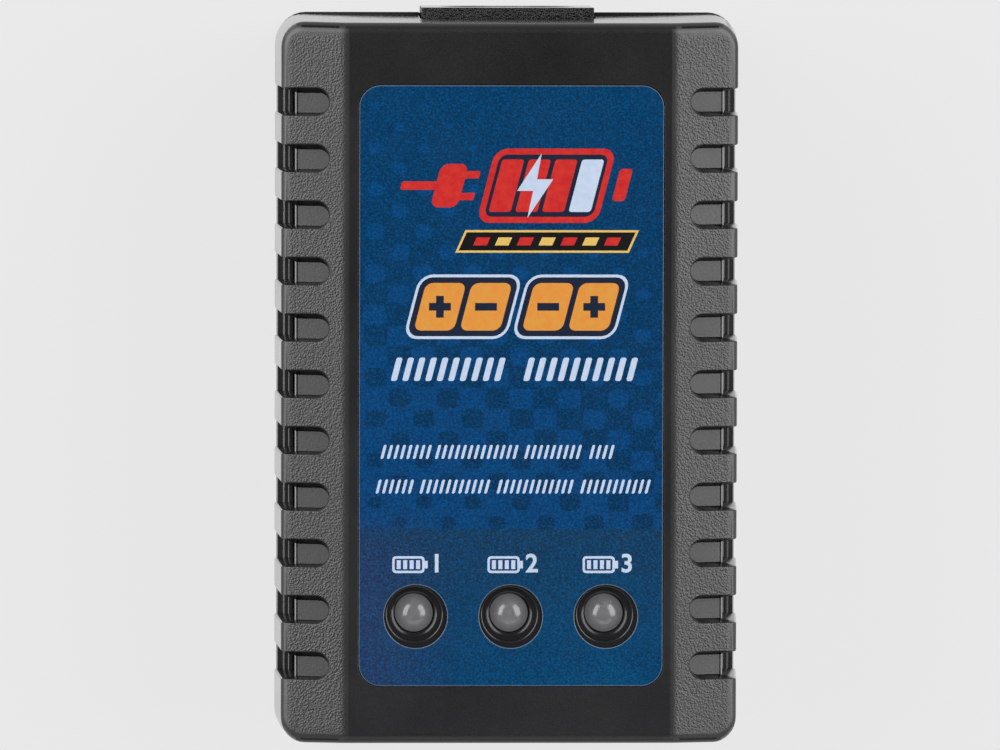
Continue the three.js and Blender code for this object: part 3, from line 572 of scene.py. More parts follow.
# Moulded finishes: colour, roughness, grain size and grain depth, then what else sets them apart.
MATERIALS = {
    "case": moulded("case_grain", BLACK, 0.42, 0.27, 0.036, specular=0.62, mask=shoulder_mask),
    # The platform and end bands: colour painted darker than the grain finish and darker still at the rear,
    # as painted shade.
    "case_plain_painted_shade": moulded("case_plain_painted_shade", scaled(BLACK, 0.84), 0.39, 0.3, 0.005, painted_rear_shade=0.4),
    "case_wall": moulded("case_wall", BLACK, 0.2, 0.5, 0.002, specular=0.6, coat=0.5),
    # The grooves' side walls: colour painted half as bright as the case, as painted shade.
    "case_polished_painted_shade": moulded("case_polished_painted_shade", scaled(BLACK, 0.5), 0.2, 0.4, 0.001, 0.04, 0.28),
    "case_bowl": moulded("case_bowl", BLACK, 0.24, 0.4, 0.001, 0.04, 0.42),
    "case_smooth": moulded("case_smooth", scaled(BLACK, 0.8), 0.44, 0.3, 0.004, specular=0.62),
    "inlet": moulded("inlet_grain", srgb(12, 12, 13), 0.32, 0.24, 0.12, specular=0.25),
    "socket": moulded("socket_nylon", srgb(232, 228, 214), 0.4, 0.6, 0.004),
    "chip": moulded("chip_epoxy", srgb(26, 26, 27), 0.6, 0.12, 0.008),
    "bobbin": moulded("bobbin_resin", srgb(30, 29, 28), 0.5, 0.5, 0.006),
    "ferrite": moulded("ferrite_ground", srgb(52, 52, 56), 0.6, 0.2, 0.01),
    "fuse": moulded("fuse_shell", srgb(74, 40, 24), 0.4, 0.6, 0.003),
    "disc": moulded("disc_epoxy", srgb(38, 108, 170), 0.35, 0.9, 0.012),
    "sleeve": moulded("capacitor_sleeve", srgb(24, 40, 92), 0.3, 1.4, 0.004),
    "tape": moulded("winding_tape", srgb(226, 186, 42), 0.35, 2.2, 0.006),
    "rating": moulded("rating_film", srgb(196, 198, 202), 0.36, 0.9, 0.002),
    "plating": metal("tin_plating", (0.72, 0.71, 0.68, 1), 0.28),
    "screw": metal("blackened_zinc", (0.16, 0.16, 0.165, 1), 0.36, (1.0, 1.0, 1.0)),
    "can_top": metal("bare_aluminium", (0.78, 0.78, 0.79, 1), 0.25, (1.0, 1.0, 1.0)),
    "choke_wire": wound_wire("choke_wire", (0.62, 0.26, 0.10, 1), 0.45),
    "lens": milky_lens(),
    "face": face_print(),
    # The sticker's bevel ink: lighter than the print, a painted highlight along its edges.
    "sticker_edge_painted_highlight": ink("sticker_edge_painted_highlight", srgb(78, 92, 110)),
    "white": ink("ink_white", srgb(165, 177, 195), srgb(156, 169, 189)),
    "orange": ink("ink_orange", srgb(182, 129, 55), srgb(187, 116, 48)),
    "red": ink("ink_red", srgb(174, 43, 34), srgb(160, 27, 32)),
    "navy": ink("ink_navy", srgb(20, 28, 46)),
    "yellow": ink("ink_yellow", srgb(190, 158, 84)),
    "black_ink": ink("ink_black", srgb(14, 13, 16)),
    "label_ground": ink("ink_ground", srgb(14, 50, 88)),
    "board": solder_mask(),
}


def dress(obj, *finishes):
    """Gives an object its materials, in slot order."""
    obj.data.materials.clear()
    for finish in finishes:
        obj.data.materials.append(MATERIALS[finish])
    return obj


def settle(obj, slot, *nodes):
    """Rides a finished piece on the one body and hides the CAD nodes it stands for."""
    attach(obj, "root")
    if nodes:
        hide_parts(*nodes)
    return obj


def mark(obj, choose):
    """Sets each face's material slot from its centre, in millimetres, and its direction."""
    for face in obj.data.polygons:
        face.material_index = int(choose(face.center / MM, face.normal))


def complete(obj, finishes, slot, *nodes, angle=32, choose=None):
    """Shades, dresses and settles a piece; choose picks the finish of each face."""
    smooth(obj, angle)
    dress(obj, *finishes)
    if choose:
        mark(obj, choose)
    return settle(obj, slot, *nodes)


# ---------------------------------------------------------------- case form


def shoulder(x):
    """Height of the case's top above the base: flat, a soft crease, then a slope."""
    past = abs(x) - PLATFORM
    if past < -CREASE:
        return CASE_TOP
    if past < CREASE:
        return CASE_TOP - SLOPE * (past + CREASE) ** 2 / (4 * CREASE)
    return CASE_TOP - SLOPE * past


def crease_lines():
    steps = [PLATFORM + CREASE * (k / 3 - 1) for k in range(7)]
    return [side * x for x in steps for side in (1, -1)]


def drafted_cup(name, half_x, half_y, corner, open_z, closed, end_edge, side_edge, lead=(0.0, 0.0),
                flare=0.0):
    """A drafted block whose closed side follows closed(x) and meets its walls in rounded edges.

    open_z is the flat side at the parting line. The other side may be above or below it. lead is the
    width and height of the chamfer there, and flare is how far the rear wall's ends stand out there.
    """
    straight = half_x - corner
    lines = crease_lines() + [k * straight / 6 for k in range(-5, 6)]
    outline = rounded_outline(half_x, half_y, corner, 8, lines)
    direction = 1 if closed(0) > open_z else -1
    depth = abs(closed(0) - open_z)
    steps = 6

    def at(point, out, inset, z):
        along = abs(z - open_z) / depth
        a = point.x - out.x * (inset + SIDE_DRAFT * along)
        b = point.y - out.y * (inset + END_DRAFT * along)
        if out.y > 0:
            b += flare * out.y * min(1, point.x / straight) ** 2 * (1 - along)
        return Vector((a, b + CASE_Y, z))

    rings = []
    if lead[0]:
        rings.append([at(p, out, lead[0] * out.x ** 2, open_z) for p, out in outline])
        rings.append([at(p, out, 0, open_z + direction * lead[1]) for p, out in outline])
    else:
        rings.append([at(p, out, 0, open_z) for p, out in outline])
    for k in range(steps + 1):
        angle = k / steps * math.pi / 2
        ring = []
        for point, out in outline:
            edge = end_edge * out.y ** 2 + side_edge * out.x ** 2
            inset = edge * (1 - math.cos(angle))
            guess = at(point, out, inset, closed(point.x))
            z = closed(guess.x) - direction * edge * (1 - math.sin(angle))
            ring.append(at(point, out, inset, z))
        rings.append(ring)

    count = len(outline)
    points = [p for ring in rings for p in ring]
    faces = [tuple(range(count))] + skin(len(rings), count)
    last = len(points) - count
    arc, many = 9, len(lines)
    rear = [last + arc + k for k in range(many)]
    front = [last + arc + many + 2 * arc + (many - 1 - k) for k in range(many)]
    for k in range(many - 1):
        faces.append((rear[k], rear[k + 1], front[k + 1], front[k]))
    right = [last + k for k in range(arc)] + [rear[0], front[0]]
    right += [last + count - arc + k for k in range(arc)]
    left = [rear[-1]] + [last + arc + many + k for k in range(2 * arc)] + [front[-1]]
    faces += [tuple(right), tuple(left)]
    return solid_from(name, points, faces)


def inlet_cutters():
    """The way through the rear wall for the inlet, and the seat of its flange."""
    half_x, half_z = INLET_HALF.x - 0.55, INLET_HALF.z - 0.55
    through = block("through", (-half_x, inlet_high.y - 8, PARTING - half_z),
                    (half_x, inlet_high.y + 5, PARTING + half_z))
    seat = stack("seat", rounded_outline(INLET_HALF.x + FIT, INLET_HALF.z + FIT, 1.0),
                 [(0, inlet_high.y - INLET_FLANGE - FIT), (0, inlet_high.y + 4)], (0, 0, PARTING), "Y")
    return through, seat


def slot_groove(side, y):
    """Cutter of one shoulder groove: round inner end, drafted sides and a softly rounded rim."""
    reach = 9.0
    rim = SLOT_HALF_WIDTH + SLOT_RIM
    length = Vector((1, SLOPE)).length
    along, normal = Vector((1, 0, -SLOPE)) / length, Vector((SLOPE, 0, 1)) / length
    start = SLOT_INNER_END + rim - SLOT_RIM / 2
    origin = Vector((start, 0, shoulder(start)))
    outline = []
    for k in range(17):
        angle = math.pi / 2 + math.pi * k / 16
        out = Vector((math.cos(angle), math.sin(angle)))
        outline.append((out * rim, out))
    outline.append((Vector((reach, -rim)), Vector((0, -1))))
    outline.append((Vector((reach, rim)), Vector((0, 1))))

    foot = 0.1
    levels = [(rim - SLOT_FLOOR_HALF + foot, -SLOT_DEPTH), (rim - SLOT_FLOOR_HALF, -SLOT_DEPTH + foot)]
    levels += [(SLOT_RIM - across, -down) for across, down in rounding(SLOT_RIM)]
    levels.append((levels[-1][0], 1.5))
    rings = []
    for inset, depth in levels:
        ring = []
        for point, out in outline:
            a, b = point - out * inset
            place = origin + along * a + normal * depth
            shift = SLOT_FLOOR_SHIFT[side] * min(1, max(0, -depth / SLOT_DEPTH))
            ring.append(Vector((side * place.x, y + b + shift, place.z)))
        rings.append(ring)
    return loft("groove", rings)


def slot_wall(side, y):
    """Cutter of one slot through the side wall, with rounded outer edges that follow the draft."""
    plan = [(SLOT_FLOOR_END, SLOT_FLOOR_HALF), (HALF_WIDTH - SLOT_RIM, SLOT_HALF_WIDTH)]
    plan += [(HALF_WIDTH - down, SLOT_HALF_WIDTH + across) for across, down in rounding(SLOT_RIM)[1:]]
    plan.append((HALF_WIDTH + 4, plan[-1][1]))
    plan += [(x, -half) for x, half in reversed(plan)]
    plan = [(x, b + (SLOT_FLOOR_SHIFT[side] if x == SLOT_FLOOR_END else 0)) for x, b in plan]
    rings = []
    for z in (PARTING - 2, CASE_TOP + 1):
        lean = SIDE_DRAFT * (z - PARTING) / (CASE_TOP - PARTING)
        rings.append([
            Vector((side * (x - (lean if x > SLOT_FLOOR_END else 0)), y + b, z)) for x, b in plan])
    return loft("wall", rings)


def slot_floor(x):
    """Height of a groove's floor at a distance from the case's middle."""
    return shoulder(x) - SLOT_DEPTH * Vector((1, SLOPE)).length


def slot_edges(side, y):
    """Two cutters: one rounds the outer end of the groove's floor, one scores a fine line before it."""
    radius = 0.2
    end = SLOT_FLOOR_END
    y += SLOT_FLOOR_SHIFT[side]
    floor = slot_floor(end - radius)
    edge = [(end - down, floor - across) for across, down in rounding(radius, 5, math.pi / 2)]
    edge += [(end + 0.1, floor - radius), (end + 0.1, floor + 0.2), (end - radius, floor + 0.2)]
    x = end - SCORE_PLACE
    floor = slot_floor(x)
    score = [(x - 0.1, floor + 0.2), (x, floor - 0.3), (x + 0.1, floor + 0.2)]
    levels = [(0, y - SLOT_FLOOR_HALF), (0, y + SLOT_FLOOR_HALF)]
    return [stack("edge", polygon_outline([(side * x, z) for x, z in points]), levels, axis="Y")
            for points in (edge, score)]


def slot_inside(side, y):
    """Cutter that opens the slot to the inside below the groove's floor."""
    roof = shoulder(SLOT_FLOOR_END) - SLOT_DEPTH - SLOT_FLOOR_THICKNESS
    xs = sorted((side * (SLOT_FLOOR_END - 1.3), side * (SLOT_FLOOR_END + 0.2)))
    y += SLOT_FLOOR_SHIFT[side]
    return block("inside", (xs[0], y - SLOT_FLOOR_HALF, PARTING - 2), (xs[1], y + SLOT_FLOOR_HALF, roof))


def slot_places():
    first = CASE_Y + SLOT_SHIFT
    middle_index = (SLOT_COUNT - 1) / 2
    return [(side, first + (i - middle_index) * SLOT_PITCH) for side in (-1, 1) for i in range(SLOT_COUNT)]


def led_bowl(place):
    """Cutter of one LED's hole and the dished bowl around it."""
    top = label_low.z
    hole, rim, depth, round_edge = 2.5, 3.38, 1.75, 0.18
    levels = [(hole, top - 9), (hole, top - depth)]
    for k in range(1, 6):
        angle = math.pi / 2 * k / 6
        radius = hole + (rim - hole) * math.sin(angle)
        levels.append((radius, top - depth + (depth - round_edge) * (1 - math.cos(angle))))
    levels += [(rim + across, top - down) for across, down in rounding(round_edge)]
    levels.append((levels[-1][0], top + 2))
    return turned("bowl", levels, place, 64)


def make_top_shell():
    shell = drafted_cup("upper_case", HALF_WIDTH, HALF_LENGTH, CORNER, PARTING + PARTING_GAP / 2, shoulder,
                        END_EDGE, SIDE_EDGE, lead=(0.05, 0.05), flare=REAR_FLARE)
    cut(shell, drafted_cup("hollow", HALF_WIDTH - WALL, HALF_LENGTH - WALL, CORNER - WALL, PARTING - 1,
                           lambda x: shoulder(x) - WALL, 0.8, 0.8))
    step = WALL - LIP_THICKNESS - FIT
    cut(shell, stack("rebate", rounded_outline(BASE_HALF_WIDTH - step, HALF_LENGTH - step, CORNER - 1.2),
                     [(0, PARTING - 1), (0, PARTING + LIP_HEIGHT + FIT)], (0, CASE_Y, 0)))
    foot = 9.3
    columns = [stack("column", circle_outline(3.25), [(0.3, foot), (0, foot + 0.3), (0, 31)], (p.x, p.y, 0))
               for p in SCREW_PLACES]
    collars = [rod("collar", 4.7, CASE_TOP - 8.0, CASE_TOP - WALL / 2, p) for p in LED_PLACES]
    add(shell, *columns, *collars)
    cut(shell, *[rod("pilot", 1.3, 9, 21.8, p, 24) for p in SCREW_PLACES])
    cut(shell, *[led_bowl(p) for p in LED_PLACES])

    edge = 0.07
    recess = [(0, label_low.z), (0, CASE_TOP - edge), (-edge * 0.4, CASE_TOP - edge * 0.3),
              (-edge, CASE_TOP), (-edge, CASE_TOP + 1)]
    half_x, half_y = LABEL_HALF.x + LABEL_FIT, LABEL_HALF.y + LABEL_FIT
    cut(shell, stack("recess", rounded_outline(half_x, half_y, LABEL_CORNER + LABEL_FIT, 16), recess,
                     (LABEL_X, LABEL_MIDDLE.y, 0)))
    for cutter in (slot_groove, slot_wall, slot_inside):
        cut(shell, *[cutter(side, y) for side, y in slot_places()])
    roundings, scores = zip(*[slot_edges(side, y) for side, y in slot_places()])
    cut(shell, *roundings)
    cut(shell, *scores)
    for cutter in inlet_cutters():
        cut(shell, cutter)

    def finish_at(centre, normal):
        below_top = shoulder(centre.x) - centre.z
        across = abs(centre.x)
        inside_x = across < HALF_WIDTH - SIDE_DRAFT - 0.35
        inside_y = abs(centre.y - CASE_Y) < HALF_LENGTH - END_DRAFT - 0.3
        if across > SLOT_INNER_END - 1 and below_top > SLOT_RIM * 1.2 and inside_x and inside_y:
            if across > SLOT_FLOOR_END - 0.21 and 0.15 < abs(normal.x) < 0.95 and normal.z > 0.2:
                return 2
            # Groove side walls take the finish painted darker, as painted shade.
            return 4 if abs(normal.y) > 0.5 else 3
        if below_top > 0.15 and across < PLATFORM and inside_y:
            return 5
        if abs(normal.z) < 0.15:
            return 2
        # Index 1 is the finish painted darker, as painted shade on the platform.
        return 1 if across < PLATFORM - CREASE or normal.z < 0.7 else 0

    finishes = ["case", "case_plain_painted_shade", "case_wall", "case_smooth", "case_polished_painted_shade", "case_bowl"]
    complete(shell, finishes, "case_black", "top_shell", choose=finish_at)


def make_bottom_shell():
    top = PARTING - PARTING_GAP / 2
    shell = drafted_cup("lower_case", BASE_HALF_WIDTH - RIM_RELIEF, BASE_HALF_LENGTH, CORNER, top,
                        lambda x: 0.0, END_EDGE, END_EDGE, lead=(0.2, 0.6))
    inner_x, inner_y = BASE_HALF_WIDTH - WALL, HALF_LENGTH - WALL
    lip_top, bevel = PARTING + LIP_HEIGHT, 0.2
    lip = rounded_outline(inner_x + LIP_THICKNESS, inner_y + LIP_THICKNESS, CORNER - WALL + LIP_THICKNESS)
    add(shell, stack("lip", lip, [(0, top - 1), (0, lip_top - bevel), (bevel, lip_top)], (0, CASE_Y, 0)))
    cut(shell, drafted_cup("hollow", inner_x, inner_y, CORNER - WALL, PARTING + 5, lambda x: WALL, 0.8, 0.8))
    for side in (-1, 1):
        xs = sorted((side * (inner_x - 0.45), side * (inner_x + 0.2)))
        add(shell, block("ledge", (xs[0], CASE_Y - LEDGE_HALF_LENGTH, top - 4),
                         (xs[1], CASE_Y + LEDGE_HALF_LENGTH, lip_top + 0.7), 0.13))
    wells = [rod("well", 4.0, 1, 9, p) for p in SCREW_PLACES]
    posts = [rod("post", 2.5, 1, 8.9, Vector((x, CASE_Y + y))) for x in (-20, 20) for y in (-27, 24)]
    add(shell, *wells, *posts)
    mouth = [(2.8, 6.8), (2.8, 0.25), (2.87, 0.1), (3.05, 0), (3.05, -1)]
    cut(shell, *[turned("mouth", mouth, p) for p in SCREW_PLACES])
    cut(shell, *[rod("bore", 1.55, 5, 10, p, 24) for p in SCREW_PLACES])
    low, high = box_mm("rating_label")
    cut(shell, stack("recess", rounded_outline(high.x + FIT, (high.y - low.y) / 2 + FIT, 2.9, 12),
                     [(0, high.z), (0, 0.08), (-0.08, 0), (-0.08, -1)], (0, (low.y + high.y) / 2, 0)))
    windows = []
    for node in ("socket_2s", "socket_3s"):
        low, high = box_mm(node)
        windows.append(block("window", (low.x - FIT, low.y - 5, low.z - FIT),
                             (high.x + FIT, low.y + 5, PARTING + 5)))
    cut(shell, *windows)
    for cutter in inlet_cutters():
        cut(shell, cutter)

    def finish_at(centre, normal):
        inside_x = abs(centre.x) < BASE_HALF_WIDTH - SIDE_DRAFT - 0.3
        inside_y = abs(centre.y - CASE_Y) < BASE_HALF_LENGTH - END_DRAFT - 0.3
        if centre.z > top - 0.16 and 0.3 < normal.z < 0.95:
            return 1
        if centre.z > 0.2 and inside_x and inside_y:
            return 2
        return 1 if abs(normal.z) < 0.3 else 0

    complete(shell, ["case_plain_painted_shade", "case_wall", "case_smooth"], "case_black", "bottom_shell",
             choose=finish_at)


# ---------------------------------------------------------------- stickers and their print


def make_face_label():
    top, bevel = label_high.z, 0.1
    label = stack("face_sticker", rounded_outline(LABEL_HALF.x, LABEL_HALF.y, LABEL_CORNER, 16),
                  [(0, label_low.z), (0, top - 0.05), (bevel, top)], (LABEL_X, LABEL_MIDDLE.y, 0))
    hole = [(0, label_low.z - 1), (0, top - 0.05), (-bevel, top), (-bevel, top + 1)]
    cut(label, *[stack("hole", circle_outline(3.93, 72), hole,
                       (p.x + HOLE_SHIFT[0], p.y + HOLE_SHIFT[1], 0)) for p in LED_PLACES])
    # The sticker's bevelled edges take the lighter ink, as a painted highlight.
    complete(label, ["face", "sticker_edge_painted_highlight"], "label_blue", "face_label",
             choose=lambda centre, normal: 0.1 < normal.z < 0.98)


class Print:
    """Thin printed shapes on the face sticker, grouped by ink, at places from the middle of the face."""

    def __init__(self):
        self.shapes = {}

    def shape(self, colour, points, layer=0, centre=(0, 0)):
        low = label_high.z - 0.01
        high = label_high.z + 0.006 + 0.006 * layer
        outline = polygon_outline([(x + centre[0] + LABEL_X, y + centre[1] + CASE_Y) for x, y in points])
        self.shapes.setdefault(colour, []).append(stack("print", outline, [(0, low), (0, high)]))

    def slanted(self, colour, x, y, width, height, layer=0, lean=0.26, corner=0.0):
        """A leaning bar centred on x, y, with optional rounded corners."""
        corner = min(corner, width / 2 - 1e-3, height / 2 - 1e-3)
        if corner > 0:
            points = [p for p, _ in rounded_outline(width / 2, height / 2, corner, 5)]
        else:
            points = [Vector(p) for p in ((1, -1), (1, 1), (-1, 1), (-1, -1))]
            points = [Vector((p.x * width / 2, p.y * height / 2)) for p in points]
        self.shape(colour, [(p.x + lean * p.y, p.y) for p in points], layer, (x, y))

    def finish(self):
        for colour, shapes in self.shapes.items():
            piece = join(f"face_print_{colour}", shapes)
            dress(piece, colour)
            settle(piece, "label_blue")


def bolt(height):
    """Outline of a lightning bolt."""
    unit = [(0.10, 0.5), (-0.28, -0.08), (-0.03, -0.08), (-0.12, -0.5), (0.28, 0.1), (0.03, 0.1)]
    return [(x * height, y * height) for x, y in unit]


def cross(size, bar):
    """Outline of a plus sign."""
    a, b = bar / 2, size / 2
    return [(b, -a), (b, a), (a, a), (a, b), (-a, b), (-a, a), (-b, a), (-b, -a), (-a, -a), (-a, -b),
            (a, -b), (a, -a)]


def battery_badge(prints, x, y):
    """A battery with a lightning bolt, and a plug with its lead to the left of it."""
    body, height = 15.0, 9.2
    prints.slanted("red", x, y, body, height, 0, corner=1.6)
    prints.slanted("red", x + body / 2 + 1.9, y + 0.1, 1.6, 4.0, 0, corner=0.4)
    prints.slanted("navy", x, y, body - 1.5, height - 1.5, 1, corner=1.0)
    for k in range(4):
        width, gap = 2.75, 0.55
        offset = (k - 1.5) * (width + gap)
        prints.slanted("red" if k < 3 else "white", x + offset, y, width, height - 2.7, 2, corner=0.35)
    prints.shape("white", bolt(8.0), 3, (x - 1.4, y))
    start = x - body / 2 - 1.1
    for side in (-1.35, 1.35):
        prints.slanted("red", start - 0.95 + 0.26 * side, y + side, 1.9, 0.9, 0)
    prints.slanted("red", start - 3.4, y, 3.4, 5.4, 1, corner=1.0)
    prints.slanted("red", start - 7.1, y, 4.6, 1.05, 0, corner=0.3)


def cell_block(prints, x, y, positive):
    """One orange cell with a plus or minus sign."""
    width, height, bar = 5.0, 5.9, 0.95
    prints.slanted("orange", x, y, width, height, 2, corner=0.9)
    if positive:
        prints.shape("navy", cross(2.7, bar), 3, (x, y))
    else:
        prints.slanted("navy", x, y, 2.7, bar, 3, lean=0)


def hatch(prints, colour, x, y, width, height, stroke, pitch):
    """A run of leaning strokes."""
    count = round((width - stroke) / pitch) + 1
    for k in range(count):
        prints.slanted(colour, x + (k - (count - 1) / 2) * pitch, y, stroke, height, corner=0.25)


def numeral(text, x, y, height):
    """A printed numeral as a thin solid."""
    curve = bpy.data.curves.new("numeral", "FONT")
    curve.body = text
    curve.size = height * 1.38 * MM
    curve.align_x = "CENTER"
    curve.align_y = "CENTER"
    curve.extrude = 0.006 * MM
    curve.offset = 0.07 * MM
    shown = new_object("numeral", curve)
    mesh = evaluated_mesh(shown)
    bpy.data.objects.remove(shown)
    build = bmesh.new()
    build.from_mesh(mesh)
    bmesh.ops.remove_doubles(build, verts=build.verts, dist=1e-7)
    bmesh.ops.translate(build, verts=build.verts,
                        vec=Vector((x + LABEL_X, y + CASE_Y, label_high.z + 0.002)) * MM)
    build.to_mesh(mesh)
    build.free()
    return new_object("numeral", mesh)


def cell_icon(prints, x, y):
    """A small battery lying on its side, with four charge bars."""
    prints.slanted("white", x, y, 4.0, 2.1, 0, lean=0, corner=0.45)
    prints.slanted("white", x + 2.2, y, 0.4, 0.95, 0, lean=0)
    prints.slanted("label_ground", x, y, 3.4, 1.5, 1, lean=0, corner=0.2)
    for k in range(4):
        prints.slanted("white", x + (k - 1.5) * 0.8, y, 0.5, 1.1, 2, lean=0)


def dash_bar(prints, x, y):
    """A leaning black bar in a yellow border, with seven dashes along it."""
    lean = 0.45
    prints.slanted("yellow", x, y, 21.5, 2.8, 0, lean)
    prints.slanted("black_ink", x, y, 20.9, 2.25, 1, lean)
    for k in range(7):
        prints.slanted("yellow" if k % 2 else "red", x + (k - 3) * 2.7, y, 1.7, 1.0, 2, lean)


def cell_pair(prints, x, y, signs):
    """Two cells in a white-edged frame."""
    prints.slanted("white", x, y, 12.8, 8.0, 0, corner=1.7)
    prints.slanted("navy", x, y, 12.1, 7.3, 1, corner=1.4)
    for k, positive in enumerate(signs):
        cell_block(prints, x + (k - 0.5) * 5.7, y, positive)


def make_face_print():
    prints = Print()
    battery_badge(prints, 4.3, 24.6)
    dash_bar(prints, 4.4, 17.7)
    cell_pair(prints, -6.0, 9.6, (True, False))
    cell_pair(prints, 7.4, 9.6, (False, True))

    for x, width in ((-7.8, 14.2), (8.6, 13.0)):
        hatch(prints, "white", x, 1.85, width, 2.9, 0.75, 1.42)
    for start, y, words in ((-15.8, -8.4, (5.6, 9.6, 7.0, 2.8)), (-16.6, -12.7, (4.4, 8.2, 9.4, 8.2))):
        for length in words:
            hatch(prints, "white", start + length / 2, y, length, 1.75, 0.36, 0.8)
            start += length + 1.15
    places = [place.x + HOLE_SHIFT[0] - LABEL_X for place in LED_PLACES]
    for x in places:
        cell_icon(prints, x - 0.9, -22.4)
    prints.shapes["white"] += [numeral(str(i + 1), x + 2.6, -22.35, 2.3) for i, x in enumerate(places)]
    prints.finish()


def make_rating_label():
    low, high = box_mm("rating_label")
    centre = middle("rating_label")
    place = (0, centre.y, 0)
    half_x, half_y = high.x, high.y - centre.y
    label = stack("rating_sticker", rounded_outline(half_x, half_y, LABEL_CORNER, 12),
                  rounded_levels(low.z, high.z, 0.04, 0, 2), place)
    complete(label, ["rating"], "label_silver", "rating_label")

    ink_low, ink_high, border, rule_width = low.z - 0.006, low.z + 0.01, 1.6, 0.35
    lines = []
    for k, width in enumerate((24, 18, 26, 22, 26, 15)):
        y = centre.y + 18 - k * 4.2
        lines.append(block("line", (-13.0, y - 0.5, ink_low), (width - 13.0, y + 0.5, ink_high)))
    rule = stack("rule", rounded_outline(half_x - border, half_y - border, 1.6, 8),
                 [(0, ink_low), (0, ink_high)], place)
    border += rule_width
    cut(rule, stack("inner", rounded_outline(half_x - border, half_y - border, 1.25, 8),
                    [(0, low.z - 1), (0, low.z + 1)], place))
    print_piece = join("rating_print", [*lines, rule])
    dress(print_piece, "black_ink")
    settle(print_piece, "label_silver")


# ---------------------------------------------------------------- LEDs, connectors and screws


def make_led(index):
    node = f"led_{index}"
    low, high = box_mm(node)
    flange = (high.x - low.x) / 2
    foot = [(flange - 0.1, 0), (flange, 0.1), (flange, 0.9), (flange - 0.1, 1.0), (LED_RADIUS + 0.06, 1.0),
            (LED_RADIUS, 1.1)]
    levels = [(radius, low.z + rise) for radius, rise in foot]
    steps = 24
    for k in range(steps):
        angle = math.pi / 2 * k / steps
        levels.append((LED_RADIUS * math.cos(angle), high.z - LED_DOME + LED_DOME * math.sin(angle)))
    levels.append((0.05, high.z))
    complete(turned(f"{node}_lens", levels, middle(node), 64), ["lens"], "milky_lens", node, angle=50)


def led_legs():
    return [f"led_{led}_leg_{leg}" for led in (1, 2, 3) for leg in (1, 2, 3)]


def make_legs():
    for node in led_legs():
        low, high = box_mm(node)
        piece = block(f"{node}_wire", low, high, 0.08)
        stop_z = low.z + 6.0
        add(piece, block("tie", (low.x - 0.16, low.y - 0.02, stop_z),
                         (high.x + 0.16, high.y + 0.02, stop_z + 1.1), 0.06))
        complete(piece, ["plating"], "plating", node)


def make_inlet():
    centre = (0, 0, PARTING)
    rear = inlet_high.y
    flange_y = rear - INLET_FLANGE
    body = stack("mains_inlet", rounded_outline(INLET_HALF.x, INLET_HALF.z, 0.8, 6),
                 rounded_levels(flange_y, rear, 0.1, 0.08, 2), centre, "Y")
    add(body, stack("neck", rounded_outline(INLET_HALF.x - 0.8, INLET_HALF.z - 0.8, 0.8, 5),
                    rounded_levels(inlet_low.y, flange_y + 0.5, 0.5, 0, 3), centre, "Y"))
    add(body, *[block("foot", (side * 7 - 1.5, inlet_low.y + 6, inlet_low.z),
                      (side * 7 + 1.5, inlet_low.y + 14, inlet_low.z + 1.5), 0.2) for side in (-1, 1)])
    lobe, waist, pitch, depth = 3.9, 3.1, 4.3, 9.8
    edge = 0.3
    mouth = [(0, rear - depth), (0, rear - edge), (-edge * 0.3, rear - edge * 0.3), (-edge, rear),
             (-edge, rear + 1)]
    for side in (-1, 1):
        cut(body, stack("lobe", circle_outline(lobe, 48), mouth, (side * pitch, 0, PARTING), "Y"))
    cut(body, stack("waist", rounded_outline(pitch, waist, 0.3, 2), mouth, centre, "Y"))
    cut(body, *[stack("hole", circle_outline(1.4, 24), [(0, inlet_low.y - 1), (0, rear - depth + 1)],
                      (side * pitch, 0, PARTING), "Y") for side in (-1, 1)])
    complete(body, ["inlet", "case_wall"], "inlet_black", "ac_inlet",
             choose=lambda centre, normal: normal.y > 0.7 and centre.y > rear - 0.5)

    for name, x in (("left", -pitch), ("right", pitch)):
        node = f"inlet_pin_{name}"
        low, high = box_mm(node)
        pin = stack(f"{node}_contact", circle_outline(1.2, 32),
                    rounded_levels(low.y + 0.4, high.y, 0.2, 0.9, 5), (x, 0, PARTING), "Y")
        add(pin, block("tail", (x - 0.75, low.y, low.z), (x + 0.75, low.y + 1.1, PARTING), 0.15))
        complete(pin, ["plating"], "plating", node)


def refined(node, finish, slot, bevel, suffix):
    """A copy of a boxy CAD node with its flat faces merged and its edges rounded."""
    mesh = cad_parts[node].data.copy()
    obj = new_object(f"{node}_{suffix}", mesh)
    build = bmesh.new()
    build.from_mesh(mesh)
    bmesh.ops.remove_doubles(build, verts=build.verts, dist=1e-6)
    bmesh.ops.dissolve_limit(build, angle_limit=math.radians(1), verts=build.verts, edges=build.edges)
    build.to_mesh(mesh)
    build.free()
    modifier = obj.modifiers.new("edges", "BEVEL")
    modifier.width = bevel * MM
    modifier.segments = 3
    modifier.limit_method = "ANGLE"
    modifier.angle_limit = math.radians(35)
    apply_modifiers(obj)
    complete(obj, [finish], slot, node)


def make_sockets():
    for node, pins in (("socket_2s", 3), ("socket_3s", 4)):
        refined(node, "socket", "socket_white", 0.1, "housing")
        for i in range(pins):
            refined(f"{node}_pin_{i + 1}", "plating", "plating", 0.1, "contact")


